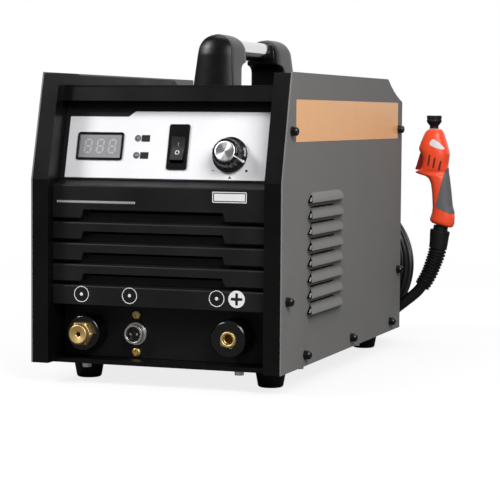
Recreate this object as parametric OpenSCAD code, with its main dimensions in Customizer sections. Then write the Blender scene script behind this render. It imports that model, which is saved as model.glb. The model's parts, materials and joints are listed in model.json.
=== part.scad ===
// Plasma cutter unit: an inverter power source with a built-in air compressor in a folded steel case,
// with a carrying handle on top and a hand torch on its lead behind the case.
// Millimetres. +Z is up, -Y is the front. The origin lies on the floor, under the middle of the whole
// unit with its torch. The modules draw in a frame whose origin lies under the middle of the case.

/* [Case] */
// Width over the side panels
body_w = 250; // [230:1:290]
// Depth over the side panels
body_d = 420; // [400:1:470]
// Height of the case without its feet
body_h = 275; // [272:1:310]
// Thickness of the folded steel sheets
sheet = 1.5; // [1:0.1:2]
// Height of the upper part of the front that leans back
lean_h = 101; // [96:1:103]
// How far the front leans back at its top
lean_y = 26; // [16:1:34]
// Drop of the hollow chamfer at the top rear corner
chamfer_drop = 24; // [12:1:32]
// Run of that chamfer
chamfer_run = 60; // [40:1:68]
// How far the top cover lies below the side panels' edges
cover_drop = 12; // [8:1:18]
// Height of the rubber feet
foot_h = 20; // [14:1:26]
// Radius of a foot where it meets the base
foot_r = 15; // [12:0.5:18]
// Gap between pieces that seat on each other
seat = 0.3; // [0.2:0.05:0.4]

/* [Front] */
// Width of a front post
post_w = 16; // [12:0.5:20]
// Depth of a front post
post_d = 44; // [40:1:50]
// Depth of the control fascia behind the posts
fascia_in = 26; // [20:1:30]
// Depth of the top beam behind the posts
beam_in = 12; // [8:1:16]
// Height of the top beam
beam_h = 13; // [10:0.5:16]
// Depth of the louvre blades behind the posts
blade_in = 10; // [6:1:12]
// Height of the header above the louvre blades
header_h = 31; // [28:0.5:34]
// Gap between one louvre blade and the next
blade_gap = 4.1; // [3.6:0.1:5]
// Number of blades between the header and the label band
blade_count = 3; // [2:1:3]
// Height of the label band above the connectors
band_h = 18.2; // [16:0.2:20]
// Height of the connector recess
recess_h = 56; // [52:1:60]
// Depth of the connector panel behind the posts
panel_in = 38; // [34:1:39]

/* [Controls] */
// Width of the display frame
display_w = 47.6; // [40:0.2:50]
// Height of the display frame
display_h = 27; // [22:0.5:32]
// Width of the mode switch plate
switch_w = 20.4; // [18:0.2:24]
// Height of the mode switch plate
switch_h = 43.6; // [36:0.2:48]
// Swing of the mode switch rocker
rocker_swing = 16; // [10:1:18]
// Radius of the current knob at its base
knob_r = 17; // [14:0.5:19]
// Height of the current knob
knob_h = 17; // [14:0.5:22]
// Radius of the knob's shaft
shaft_r = 3; // [2.5:0.1:3.4]

/* [Connectors] */
// Radius of the torch outlet collar
collar_r = 17; // [15:0.5:19]
// Width across the flats of the brass torch fitting
hex_flats = 21; // [18:0.5:24]
// Radius of the control socket's barrel
socket_r = 9.2; // [7.5:0.1:9.4]
// Radius of the work lead socket
work_r = 17.5; // [15:0.5:19]
// Radius of the bore in the work lead socket
work_bore_r = 4.8; // [4:0.1:6]

/* [Handle] */
// Width of a handle end at its foot
grip_w = 39; // [34:1:44]
// Height of the handle above the top cover
grip_h = 53; // [46:1:60]
// Length of the handle over both ends
grip_l = 207; // [180:1:230]
// Depth of a handle end at its foot
grip_leg = 38; // [30:1:44]
// How far the head of a handle end reaches past its foot
grip_head = 20; // [12:1:26]
// Radius of the steel handle tube
tube_r = 10; // [8:0.5:12]

/* [Sides] */
// Number of pressed louvres in a side panel
hood_count = 8; // [4:1:8]
// Distance from louvre to louvre
hood_pitch = 15; // [14:0.5:16]
// Length of a louvre
hood_l = 114; // [80:1:120]
// How far a louvre stands out
hood_out = 6.2; // [3:0.2:6.4]

/* [Fan] */
// Width of the fan's square frame
fan_w = 120; // [100:1:124]
// Depth of the fan's frame
fan_d = 25; // [20:1:30]
// Number of fan blades
fan_blades = 7; // [5:1:9]

/* [Torch] */
// Radius of the torch lead
lead_r = 6; // [5:0.2:6.4]
// Number of layers in the coiled lead
coil_layers = 4; // [2:2:4]
// Radius of the coil's outer turns
coil_r = 82; // [80:0.5:86]
// Whole turns in the coiled lead
coil_turns = 12; // [8:1:12]
// Swing of the torch trigger
trigger_swing = 7; // [4:1:8]

/* [Hidden] */
$fn = 48;

// The case: front plane, base, inner faces, cover and lean
front = -body_d / 2;
base = foot_h;
wall_x = body_w / 2 - sheet;
inner_x = wall_x - post_w;
cover_z = base + body_h - cover_drop;
lean_z = body_h - lean_h;
tilt = atan2(lean_y, lean_h);
back = body_d / 2;
rear_face = back - 3;
post_seat = wall_x - seat;
function lean(z) = z <= lean_z ? 0 : (z - lean_z) * lean_y / lean_h;

// The louvre front, measured up from the base
header_top = lean_z - 5;
header_bottom = header_top - header_h;
band_top = recess_h + band_h;
blade_pitch = (header_bottom - band_top - blade_gap) / blade_count;
blade_h = blade_pitch - blade_gap;
plate_in = 20;
plate_t = 2.5;
lip_r = 1.6;
vent_h = 2.2;
notch_h = 7.2;
notch_slant = 3;
notch_left = -78.5;
notch_right = 67;

// Clearances: round a screw's shank, in a threaded hole, and round a pin
shank_gap = 0.2;
thread_gap = 0.1;
pin_gap = 0.05;

// The front frame's beam and sill
beam_sink = 2;
beam_flange = 3;
sill_in = 12;
sill_h = 4;
tray_h = 22;

// Controls on the fascia: x, and distance up the slope
fascia_t = 2;
fascia_top = (lean_h - cover_drop - beam_sink - beam_flange - seat) / cos(tilt);
control_u = 32;
display_x = -68.6;
window_w = display_w - 4.6;
window_h = display_h - 4.4;
lamp_x = -30.8;
lamp_r = 2.5;
lamp_u = [23.5, 40];
switch_x = 11;
rocker_w = 12.6;
rocker_h = 24;
rocker_drop = 2.6;
rocker_in = 4;
rocker_pin_r = 1.45;
knob_x = 63.5;
knob_u = 24.8;
cap_r = knob_r - 7.05;
bush_r = shaft_r + 1.5;
pot_h = 9;
board_back = 18.4;
board_t = 1.6;

// Connectors: x, and height above the base
collar_x = -79;
collar_z = 28;
collar_out = 22;
outlet_r = 10;
fitting_r = 7;
socket_x = -32.5;
socket_z = 27.5;
socket_out = 9;
barrel_step = 0.6;
pin_x = 3.3;
pin_r = 1.1;
screw_span = 18;
work_x = 69.8;
work_z = 29.5;
work_out = 28;
contact_r = 7.9;
panel_t = 2.5;

// Feet, screws and louvres: distance from the front plane and height above the base
foot_x = body_w / 2 - 31.5;
foot_y = [64, body_d - 35];
base_screws = [[body_w / 2 - 48, 22], [body_w / 2 - 10, 84], [body_w / 2 - 10, 276],
    [body_w / 2 - 48, body_d - 22]];
side_screws = [[25, 221], [body_d - 16, 221], [15, 66], [body_d - 14, 66],
    [body_d - 43, 11], [body_d / 2 + 16, 10], [70, 11]];
screw_r = 2.4;
small_screw_r = 2;
pan_h = 6.4;
hood_y = 74;
hood_top = 162.7;
hood_h = 8.8;
hood_skin = 1.4;
slit_y = [89, 164];
slit_drop = 13.6;
slit_h = 1.3;

// Handle: its rear end stands just in front of the chamfer
grip_in = 2;
grip_y = back - chamfer_run - grip_in - grip_l;
grip_screw_x = 10;
grip_screw_y = [grip_y + grip_leg / 2, grip_y + grip_l - grip_leg / 2];
tube_z = cover_z + grip_h - 14;
tube_in = grip_leg * 0.45;
tube_wall = 1.5;
cover_end = rear_face - sheet - seat;

// Inside: y from the front plane, z above the base or the shelf
shelf_z = 124;
shelf_x = post_seat - sheet - seat;
shelf_y = 72;
shelf_top = base + shelf_z + sheet;
sink_x = [-60, 84];
sink_y = [200, 330];
fin_t = 2.1;
fin_h = 36;
board_up = 50;
capacitor_x = [-36, 8, 52];
capacitor_r = 17;
capacitor_h = 40;
core_x = -50;
core_y = 112;
core_w = 64;
core_d = 60;
core_h = 62;
choke_wire_r = 10.9;
pump_y = 216;
pump_z = 26;
pump_d = 40;
pump_head = 44;
motor_r = 27.7;
mount_x = 45;
mount_y = [190, 300];
pipe_r = 3;
pipe_bend = 20;
valve_d = 27.8;
valve_at = [collar_x, 88.2];

// Rear: x, and height above the base
fan_x = 40;
fan_z = body_h - cover_drop - fan_w / 2 - 25;
fan_bore = fan_w / 2 - 3;
fan_hub = 20;
fan_pin_r = 3;
fan_hole = fan_w * 0.4375;
lug_h = 3;
rear_slots = 6;
breaker_x = -72;
breaker_z = fan_z + 18;
breaker_w = 36;
breaker_tall = 46;
lever_in = 6;
gland_x = -88;
gland_z = 48;
gland_r = 10;

// Torch and lead
lead_d = 2 * lead_r;
turn_gap = 0.6;
turn_pitch = lead_d + turn_gap;
strap = 1.6;
guard_out = 4.5;
torch_y = rear_face + seat / 2 + guard_out + seat + strap + seat + lead_r;
coil_at = [48.6, coil_r + lead_r + seat];
coil_start = -50;
layer_turns = (coil_turns + (90 + coil_start) / 360 + 0.4) / coil_layers;
coil_end = coil_turns + (90 + coil_start) / 360;
climb = 0.25;
plug_y = 20;
trigger_pin = [150.6, 211.8];
trigger_pin_r = 1.45;
trigger_t = 12;
exit_slope = -0.248;
torch_stations = [[135.2, 158.5, 180.2, 9, 1], [136.6, 156.6, 182, 12, 1], [140, 156.4, 183.2, 13, 0.7],
    [145.3, 157.8, 183.4, 13, 0.3], [150, 159, 182.6, 13, 0], [156, 159.4, 180.6, 12.6, 0],
    [171.4, 158.4, 179, 12, 0], [180.7, 157.1, 177.8, 12, 0], [186.5, 154.6, 177, 12, 0],
    [189.6, 150.6, 176.6, 12, 0], [191.4, 142, 176.3, 11.5, 0], [193, 138.5, 176.1, 11, 0],
    [195, 138.9, 175.9, 11, 0], [196.4, 143.6, 175.7, 12, 0], [201.5, 146.3, 175.4, 13, 0],
    [208.5, 147, 176.2, 13.5, 0], [213.6, 145.4, 176.9, 13.5, 0], [218, 143, 176.1, 13.5, 0],
    [221, 142.8, 175.2, 13.3, 0], [226, 144.5, 173.7, 12.8, 0], [232, 146.9, 171.8, 11.7, 0],
    [237.6, 149.3, 169.9, 9.6, 0], [240.4, 151.8, 168.2, 8, 0], [241.4, 154, 166.8, 6.5, 0]];
foot_ring = torch_stations[0];
exit_x = 168.7;
exit_z = foot_ring[0] + exit_slope * (exit_x - (foot_ring[1] + foot_ring[2]) / 2) - seat;
route_points = [[exit_x, exit_z], [167.1, 125.2], [166.1, 114.4], [164, 103], [160.5, 92.5],
    [156.5, 82], [151, 71.5], [144, 61.5], [136, 54]];

// The origin under the middle of the whole unit, from its outermost screw heads to the torch
origin_x = (max([for (s = torch_stations) s[2]]) - body_w / 2 - pan_h) / 2;
origin_y = (torch_y + max([for (s = torch_stations) s[3]]) + front) / 2;

// 2D helpers
function arc(c, r, a0, a1, n = 6) =
    [for (i = [0:n]) c + r * [cos(a0 + (a1 - a0) * i / n), sin(a0 + (a1 - a0) * i / n)]];
function rounded(w, h, r, x = 0, y = 0) = concat(
    arc([x + w / 2 - r, y + h / 2 - r], r, 0, 90), arc([x - w / 2 + r, y + h / 2 - r], r, 90, 180),
    arc([x - w / 2 + r, y - h / 2 + r], r, 180, 270), arc([x + w / 2 - r, y - h / 2 + r], r, 270, 360));
function bezier(a, b, c, n = 8) =
    [for (i = [0:n]) let (t = i / n) (1 - t) * (1 - t) * a + 2 * t * (1 - t) * b + t * t * c];

// An outline in (y, z), carried along X from x0 to x1
module along_x(x0, x1) {
    translate([x0, 0, 0]) rotate([90, 0, 90]) linear_extrude(x1 - x0) children();
}

// An outline in (x, z), carried along Y from y0 to y1
module along_y(y0, y1) {
    translate([0, y1, 0]) rotate([90, 0, 0]) linear_extrude(y1 - y0) children();
}

// A frame whose +Z points out of the front, at depth y behind the posts
module facing_front(x, y, z) {
    translate([x, front + y, base + z]) rotate([90, 0, 0]) children();
}

// A frame that lies in the face of the leaning fascia, with +Z out of it
module on_fascia() {
    translate([0, front + fascia_in, base + lean_z]) rotate([90 - tilt, 0, 0]) children();
}

// A frame whose +Z points out of the rear, on the face of the rear panel
module out_of_rear(x, z) {
    translate([x, rear_face, base + z]) rotate([-90, 0, 0]) children();
}

// A frame whose +Z points to the front, seated on the inside of the rear panel
module in_front_of_rear(x, z) {
    translate([x, rear_face - sheet - seat / 2, base + z]) rotate([90, 0, 0]) children();
}

module box(x0, x1, y0, y1, z0, z1) {
    translate([x0, y0, z0]) cube([x1 - x0, y1 - y0, z1 - z0]);
}

// Places the case's own frame in the part's frame
module unit_frame() {
    translate([-origin_x, -origin_y, 0]) children();
}

// A body with its mirror image on the other side of the case
module both_sides() {
    children();
    mirror([1, 0, 0]) children();
}

// Holes along X through the side walls, one for each case screw
module side_holes(r, length) {
    for (x = [-1, 1], s = side_screws)
        translate([x * wall_x, front + s[0], base + s[1]]) rotate([0, 90, 0])
            cylinder(r = r, h = length, center = true);
}

// Holes up through the bottom, one for each base screw
module base_holes(r, length) {
    for (x = [-1, 1], s = base_screws)
        translate([x * s[0], front + s[1], base - 1]) cylinder(r = r, h = length);
}

// A hole through the connector panel
module panel_hole(x, z, r) {
    facing_front(x, panel_in, z) cylinder(r = r, h = 9, center = true);
}

// A pan-headed screw along +Z, its seat at z = 0
module pan_screw(head_r, head_h, shank_r, shank_l) {
    rotate_extrude() polygon(concat([[0, -shank_l], [shank_r, -shank_l], [shank_r, 0], [head_r, 0]],
        arc([head_r - head_h * 0.6, head_h * 0.4], head_h * 0.6, 0, 90), [[0, head_h]]));
}

// Tubes swept along lists of centres, tangents and radii
function unit(v) = v / norm(v);
function ring(c, t, r, sides) = let (e1 = unit([0, 1, 0] - t * t[1]), e2 = cross(t, e1))
    [for (j = [0:sides - 1]) c + r * (cos(360 * j / sides) * e1 + sin(360 * j / sides) * e2)];
function skin(count, sides) = [for (i = [0:count - 2], j = [0:sides - 1], k = [0, 1])
    let (a = i * sides + j, b = i * sides + (j + 1) % sides)
    k == 0 ? [a, a + sides, b + sides] : [a, b + sides, b]];
function fan_cap(first, sides, flip) = [for (j = [1:sides - 2])
    flip ? [first, first + j + 1, first + j] : [first, first + j, first + j + 1]];

module sweep(centres, tangents, r, sides) {
    count = len(centres);
    polyhedron(
        points = [for (i = [0:count - 1]) each ring(centres[i], tangents[i], r, sides)],
        faces = concat(skin(count, sides), fan_cap(0, sides, false),
            fan_cap((count - 1) * sides, sides, true)));
}

// The lead's route from the torch to the coil, a smooth curve through its points
coil_entry = [coil_at[0] + coil_r * cos(coil_start), coil_at[1] + coil_r * sin(coil_start)];
entry_way = [sin(coil_start), -cos(coil_start)];
route = concat(route_points, [coil_entry - 2 * lead_d * entry_way, coil_entry - lead_d * entry_way]);
route_last = len(route) - 1;
function route_at(s) = let (i = min(floor(s), route_last - 1), t = s - i,
    p0 = i == 0 ? 2 * route[0] - route[1] : route[i - 1], p1 = route[i], p2 = route[i + 1],
    p3 = i == route_last - 1 ? 2 * route[route_last] - route[route_last - 1] : route[i + 2])
    0.5 * (2 * p1 + (p2 - p0) * t + (2 * p0 - 5 * p1 + 4 * p2 - p3) * t * t
        + (3 * p1 - p0 - 3 * p2 + p3) * t * t * t);
exit_way = unit([exit_slope, 0, -1]);
function route_centre(s) = let (p = route_at(s)) [p[0], torch_y, p[1]];
function route_way(s) = let (a = route_at(max(s - 0.02, 0)), b = route_at(min(s + 0.02, route_last)))
    unit([b[0] - a[0], 0, b[1] - a[1]]);

// The coil: the radius swings in and out at a steady rate and each reversal climbs a layer
function swing(s) = let (m = s % (2 * layer_turns)) m < layer_turns ? m : 2 * layer_turns - m;
function ease(t) = t * t * (3 - 2 * t);
function layer_at(s) = let (k = floor(s / layer_turns + 0.5), u = (s - k * layer_turns + climb) / (2 * climb))
    k < 1 ? 0 : k > coil_layers - 1 ? coil_layers - 1 : k - 1 + ease(max(0, min(1, u)));
function coil_point(s) = let (r = coil_r - turn_pitch * swing(s), a = coil_start - 360 * s)
    [coil_at[0] + r * cos(a), torch_y + turn_pitch * layer_at(s), coil_at[1] + r * sin(a)];
coil_steps = ceil(24 * coil_end);
coil_turn = [for (i = [0:coil_steps]) coil_point(coil_end * i / coil_steps)];
coil_way = [for (i = [0:coil_steps]) i == 0 ? [entry_way[0], 0, entry_way[1]] : i == coil_steps ? [-1, 0, 0]
    : unit(coil_turn[i + 1] - coil_turn[i - 1])];
coil_centres = concat([coil_turn[0] - lead_d * coil_way[0]], coil_turn,
    [coil_turn[coil_steps] + lead_d * coil_way[coil_steps]]);
coil_ways = concat([coil_way[0]], coil_way, [coil_way[coil_steps]]);
tail = coil_centres[coil_steps + 2];

// Least gap between the coil's turns, from points half a turn or more apart
coil_gap = min([for (i = [0:coil_steps - 12], j = [i + 12:coil_steps])
    norm(coil_turn[i] - coil_turn[j])]) - lead_d;
echo(coil_gap = coil_gap);

// ---- Case ----

// Side outline of the case, inset at the top and the rear
function side_outline(inset = 0) = concat([[front, base], [front, base + lean_z],
    [front + lean_y, base + body_h], [back - chamfer_run, base + body_h]],
    bezier([back - chamfer_run, base + body_h],
        [back - chamfer_run * 0.62, base + body_h - chamfer_drop * 0.62],
        [back - inset, base + body_h - chamfer_drop]),
    [[back - inset, base]]);

// One pressed louvre: a hood that bulges out of the sheet, open below and at its front end
hood_face = concat([[0, 0]], bezier([0, 0], [hood_out / 2, -1], [hood_out, -hood_h]));
hood_section = concat(hood_face, [[hood_out - 1, -hood_h]],
    bezier([hood_out - 1, -hood_h], [hood_out / 2 - 1, -2.6], [0, -hood_skin]));
hood_cap = concat(hood_face, [[0, -hood_h]]);
function hood_z(k) = base + hood_top - k * hood_pitch;

module side_panel() {
    difference() {
        along_x(wall_x, body_w / 2) polygon(side_outline());
        for (k = [0:hood_count - 1])
            box(wall_x - 1, body_w / 2 + 1, front + hood_y + 1, front + hood_y + hood_l - 2,
                hood_z(k) - hood_h, hood_z(k) - hood_skin);
        for (k = [0:hood_count - 2])
            box(wall_x - 1, body_w / 2 + 1, front + slit_y[0], front + slit_y[1],
                hood_z(k) - slit_drop - slit_h / 2, hood_z(k) - slit_drop + slit_h / 2);
        side_holes(screw_r + shank_gap + thread_gap, 8);
    }
    for (k = [0:hood_count - 1])
        translate([body_w / 2, 0, hood_z(k)]) {
            along_y(front + hood_y, front + hood_y + hood_l) polygon(hood_section);
            along_y(front + hood_y + hood_l - 1.2, front + hood_y + hood_l) polygon(hood_cap);
        }
}

module side_panel_right() {
    color("#6d6b68") unit_frame() side_panel();
}

module side_panel_left() {
    color("#6d6b68") unit_frame() mirror([1, 0, 0]) side_panel();
}

module base_tray() {
    y0 = front + post_d + seat;
    y1 = rear_face - sheet - seat;
    color("#1c1c1e") unit_frame() difference() {
        union() {
            box(-post_seat, post_seat, y0, y1, base, base + sheet);
            both_sides() box(post_seat - sheet, post_seat, y0, y1, base, base + tray_h);
        }
        for (x = [-foot_x, foot_x], y = foot_y)
            translate([x, front + y, base - 1]) cylinder(r = screw_r + shank_gap, h = sheet + 2);
        base_holes(screw_r + shank_gap, sheet + 2);
        side_holes(screw_r + shank_gap, 8);
    }
}

module front_frame() {
    top = body_h - cover_drop - beam_sink;
    color("#161618") unit_frame() difference() {
        union() {
            both_sides() along_x(inner_x, post_seat) polygon([[front, base], [front + post_d, base],
                [front + post_d, base + lean_z], [front + post_d + lean_y, base + body_h - 1],
                [front + lean(body_h - 1), base + body_h - 1], [front, base + lean_z]]);
            along_x(-inner_x, inner_x) polygon([
                [front + beam_in + lean(top - beam_h), base + top - beam_h],
                [front + beam_in + lean(top), base + top],
                [front + post_d + lean_y, base + top],
                [front + post_d + lean_y, base + top - beam_flange],
                [front + fascia_in + lean(top - beam_flange) - seat, base + top - beam_flange],
                [front + fascia_in + lean(top - beam_h) - seat, base + top - beam_h]]);
            box(-inner_x, inner_x, front + sill_in, front + post_d, base, base + sill_h);
        }
        side_holes(screw_r + thread_gap, 20);
        base_holes(screw_r + thread_gap, sill_h + 2);
    }
}

// One louvre blade: a face with a rounded upper lip that falls back to the plate
module blade(bottom, top, drop) {
    along_x(-inner_x + seat, inner_x - seat) polygon(concat([[front + blade_in, base + bottom]],
        arc([front + blade_in + lip_r, base + top - lip_r], lip_r, 180, 90),
        [[front + plate_in, base + top + drop], [front + plate_in, base + bottom + 0.8]]));
}

// Just below the ceiling of the notch in blade k
function notch_top(k) = base + band_top + k * blade_pitch + blade_gap + notch_h - 0.4;

// The slanted-ended notch in a blade's lower edge
module notch(bottom, height) {
    along_y(front + blade_in - 1, front + plate_in) polygon([[notch_left, base + bottom - 1],
        [notch_right, base + bottom - 1], [notch_right - notch_slant, base + bottom + height],
        [notch_left + notch_slant, base + bottom + height]]);
}

module front_louvre() {
    color("#1b1b1d") unit_frame() {
        difference() {
            box(-inner_x + seat, inner_x - seat, front + plate_in, front + plate_in + plate_t,
                base + band_top - 6, base + header_top + 2);
            for (k = [0:blade_count])
                box(notch_left + 5, notch_right - 5, front + plate_in - 1, front + plate_in + plate_t + 1,
                    notch_top(k) - vent_h, notch_top(k));
        }
        for (k = [1:blade_count]) difference() {
            blade(band_top + k * blade_pitch - blade_h, band_top + k * blade_pitch, 1.5);
            notch(band_top + k * blade_pitch - blade_h, notch_h);
        }
        difference() {
            blade(header_bottom, header_top, 2);
            notch(header_bottom, notch_h + 0.7);
        }
        along_x(-inner_x + seat, inner_x - seat) polygon(concat([[front + blade_in, base + recess_h]],
            arc([front + blade_in + lip_r, base + band_top - lip_r], lip_r, 180, 90),
            [[front + plate_in, base + band_top + 1.5], [front + plate_in, base + recess_h + 2.5],
            [front + panel_in - seat, base + recess_h + 2.5], [front + panel_in - seat, base + recess_h]]));
        along_x(-inner_x + seat, inner_x - seat) polygon([[front + plate_in, base + header_top],
            [front + plate_in, base + header_top + 2], [front + fascia_in - 0.2, base + lean_z - 0.6],
            [front + fascia_in + 2, base + lean_z - 0.6], [front + fascia_in + 2, base + header_top]]);
    }
}

module connector_panel() {
    color("#1b1b1d") unit_frame() difference() {
        box(-inner_x + seat, inner_x - seat, front + panel_in, front + panel_in + panel_t,
            base + sill_h + seat, base + recess_h + 14);
        panel_hole(collar_x, collar_z, outlet_r + seat / 2);
        panel_hole(socket_x, socket_z, socket_r - barrel_step + seat / 2);
        for (k = [-1, 1])
            panel_hole(socket_x, socket_z + k * screw_span, small_screw_r + thread_gap);
        panel_hole(work_x, work_z, work_r - 4 + seat / 2);
    }
}

module control_fascia() {
    w = inner_x - seat;
    color("#e6e6e8") unit_frame() on_fascia() difference() {
        translate([0, 0, -fascia_t]) linear_extrude(fascia_t)
            polygon([[-w, 0], [w, 0], [w, fascia_top], [-w, fascia_top]]);
        translate([display_x, control_u, -fascia_t - 1]) linear_extrude(fascia_t + 2)
            square([window_w, window_h], center = true);
        for (u = lamp_u)
            translate([lamp_x, u, -fascia_t - 1]) cylinder(r = lamp_r + thread_gap, h = fascia_t + 2);
        translate([switch_x, control_u - rocker_drop, -fascia_t - 1]) linear_extrude(fascia_t + 2)
            square([rocker_w + 3.4, rocker_h + 5.4], center = true);
        translate([knob_x, knob_u, -fascia_t - 1]) cylinder(r = bush_r + shank_gap, h = fascia_t + 2);
    }
}

module top_cover() {
    cut = chamfer_drop * (1 - (back - cover_end) / chamfer_run);
    start_y = front + beam_in + lean(body_h - cover_drop) + 8;
    fold_y = front + post_d + lean_y;
    flange_z = base + body_h - 1.5;
    slope_y = back - chamfer_run;
    color("#1c1c1e") unit_frame() difference() {
        union() {
            along_x(-post_seat, post_seat) polygon([[fold_y + seat, cover_z], [slope_y, cover_z],
                [cover_end, cover_z - cut], [cover_end, cover_z - cut - sheet], [slope_y, cover_z - sheet],
                [fold_y + seat, cover_z - sheet]]);
            along_x(-inner_x + seat, inner_x - seat) polygon([[start_y, cover_z], [start_y, cover_z - sheet],
                [fold_y + 1, cover_z - sheet], [fold_y + 1, cover_z]]);
            both_sides() along_x(post_seat - sheet, post_seat) polygon([[fold_y + seat, cover_z - sheet],
                [fold_y + seat, flange_z], [slope_y - 4, flange_z], [cover_end, cover_z - cut + 4],
                [cover_end, cover_z - cut - sheet], [slope_y, cover_z - sheet]]);
        }
        for (y = grip_screw_y, x = [-grip_screw_x, grip_screw_x])
            translate([x, y, cover_z - 4]) cylinder(r = screw_r + shank_gap, h = 8);
    }
}

module rear_panel() {
    top = cover_z - chamfer_drop - 3;
    color("#1c1c1e") unit_frame() difference() {
        union() {
            box(-post_seat, post_seat, rear_face - sheet, rear_face, base, top);
            both_sides() box(post_seat - sheet, post_seat, rear_face - 20, rear_face, base + 24, top - 2);
        }
        out_of_rear(fan_x, fan_z) cylinder(r = fan_bore - 3, h = 8, center = true);
        for (x = [-1, 1], z = [-1, 1])
            out_of_rear(fan_x + x * fan_hole, fan_z + z * fan_hole)
                cylinder(r = small_screw_r + shank_gap, h = 8, center = true);
        out_of_rear(breaker_x, breaker_z) cube([breaker_w + 0.4, breaker_tall + 0.4, 8], center = true);
        out_of_rear(gland_x, gland_z) cylinder(r = gland_r + seat / 2, h = 8, center = true);
        for (k = [0:rear_slots - 1])
            box(-40, 70, rear_face - 4, rear_face + 1, base + 30 + 12 * k, base + 34 + 12 * k);
        side_holes(screw_r + shank_gap, 8);
    }
}

module feet() {
    foot = concat([[0, 0]], arc([foot_r * 0.78 - 1.5, 1.5], 1.5, -90, 0),
        [[foot_r, foot_h - 2], [foot_r, foot_h], [0, foot_h]]);
    color("#101011") unit_frame() for (x = [-foot_x, foot_x], y = foot_y)
        translate([x, front + y, 0]) difference() {
            rotate_extrude() polygon(foot);
            translate([0, 0, -1]) cylinder(r = 5.4, h = foot_h - 5);
            cylinder(r = screw_r, h = foot_h + 1);
        }
}

module underside_screws() {
    color("#c9c6bd") unit_frame() {
        for (x = [-foot_x, foot_x], y = foot_y)
            translate([x, front + y, foot_h - 6]) mirror([0, 0, 1])
                pan_screw(4.6, 3, screw_r - pin_gap, 8.5);
        for (x = [-1, 1], s = base_screws)
            translate([x * s[0], front + s[1], base]) mirror([0, 0, 1]) {
                cylinder(r = 5.2, h = 1);
                translate([0, 0, 1]) cylinder(r = 4.4, h = 3.4, $fn = 6);
                translate([0, 0, -3.5]) cylinder(r = screw_r, h = 4);
            }
    }
}

module case_screws() {
    color("#0d0d0e") unit_frame() {
        both_sides() for (s = side_screws)
            translate([body_w / 2, front + s[0], base + s[1]]) rotate([0, 90, 0]) {
                pan_screw(4.7, pan_h, screw_r, 2 * sheet + seat);
                cylinder(r = 5.6, h = 1.1);
            }
        for (x = [-1, 1], z = [-1, 1])
            out_of_rear(fan_x + x * fan_hole, fan_z + z * fan_hole) translate([0, 0, lug_h + seat])
                pan_screw(4.2, 2.6, small_screw_r, lug_h + sheet + fan_d * 0.6);
    }
}

// ---- Handle ----

// Front view of a handle end: a foot that narrows into an arch
function grip_face(h) = concat([[-grip_w / 2, 0]],
    arc([0, h - grip_w * 0.43], grip_w * 0.43, 172, 8, 16), [[grip_w / 2, 0]]);

// Side view of a handle end, y measured from its outer face
function grip_side(h) = concat([[0, 0], [5, h - 20], [9, h - 7]], arc([16, h - 7.2], 7.2, 150, 90, 4),
    arc([grip_leg + grip_head - 16, h - 17], 16, 80, 0, 8), [[grip_leg + grip_head, h - 26.5]],
    arc([grip_leg + 5, h - 31.5], 5, 90, 180, 5), [[grip_leg, 0]]);

module handle_end() {
    difference() {
        intersection() {
            along_y(0, grip_leg + grip_head) polygon(grip_face(grip_h));
            along_x(-grip_w, grip_w) polygon(grip_side(grip_h));
        }
        translate([0, tube_in, tube_z - cover_z]) rotate([-90, 0, 0])
            cylinder(r = tube_r + pin_gap, h = grip_leg + grip_head);
        for (x = [-grip_screw_x, grip_screw_x])
            translate([x, grip_leg / 2, -1]) cylinder(r = screw_r - thread_gap, h = 14);
    }
}

module handle_front_end() {
    color("#141415") unit_frame() translate([0, grip_y, cover_z]) handle_end();
}

module handle_rear_end() {
    color("#141415") unit_frame() translate([0, grip_y + grip_l, cover_z]) mirror([0, 1, 0]) handle_end();
}

module handle_tube() {
    length = grip_l - 2 * tube_in - 1;
    color("#dcdcde") unit_frame() translate([0, grip_y + tube_in + 0.5, tube_z]) rotate([-90, 0, 0])
        difference() {
            cylinder(r = tube_r, h = length);
            translate([0, 0, -1]) cylinder(r = tube_r - tube_wall, h = length + 2);
        }
}

module handle_screws() {
    color("#b9b9bb") unit_frame() for (y = grip_screw_y, x = [-grip_screw_x, grip_screw_x])
        translate([x, y, cover_z - sheet]) mirror([0, 0, 1])
            pan_screw(4.6, 3, screw_r - thread_gap - pin_gap, 12);
}

// ---- Controls ----

module display_bezel() {
    color("#0f0f10") unit_frame() on_fascia() translate([display_x, control_u, 0]) difference() {
        linear_extrude(1.4) polygon(rounded(display_w, display_h, 2.6));
        translate([0, 0, -1]) linear_extrude(3) square([window_w, window_h], center = true);
    }
}

module display_window() {
    color("#7d7d80") unit_frame() on_fascia() translate([display_x, control_u, -fascia_t])
        linear_extrude(fascia_t + 0.6)
            square([window_w - 2 * thread_gap, window_h - 2 * thread_gap], center = true);
}

module status_lamps() {
    flange_r = lamp_r + 0.5;
    color("#6b6b6d") unit_frame() on_fascia() for (u = lamp_u) translate([lamp_x, u, 0]) rotate_extrude()
        polygon(concat([[0, -8], [flange_r, -8], [flange_r, -fascia_t - seat], [lamp_r, -fascia_t - seat]],
            arc([0, -1.6], lamp_r, 0, 90)));
}

module switch_housing() {
    color("#111112") unit_frame() on_fascia() translate([switch_x, control_u, 0]) difference() {
        union() {
            linear_extrude(1.6) polygon(rounded(switch_w, switch_h, 2));
            translate([0, -rocker_drop, -16]) linear_extrude(16.5)
                square([rocker_w + 3, rocker_h + 5], center = true);
        }
        translate([0, -rocker_drop, -11]) linear_extrude(16)
            square([rocker_w + 2 * seat, rocker_h + 1.8], center = true);
        translate([0, -rocker_drop, -rocker_in]) rotate([0, 90, 0])
            cylinder(r = rocker_pin_r + pin_gap, h = rocker_w + 2.4, center = true);
    }
}

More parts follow.
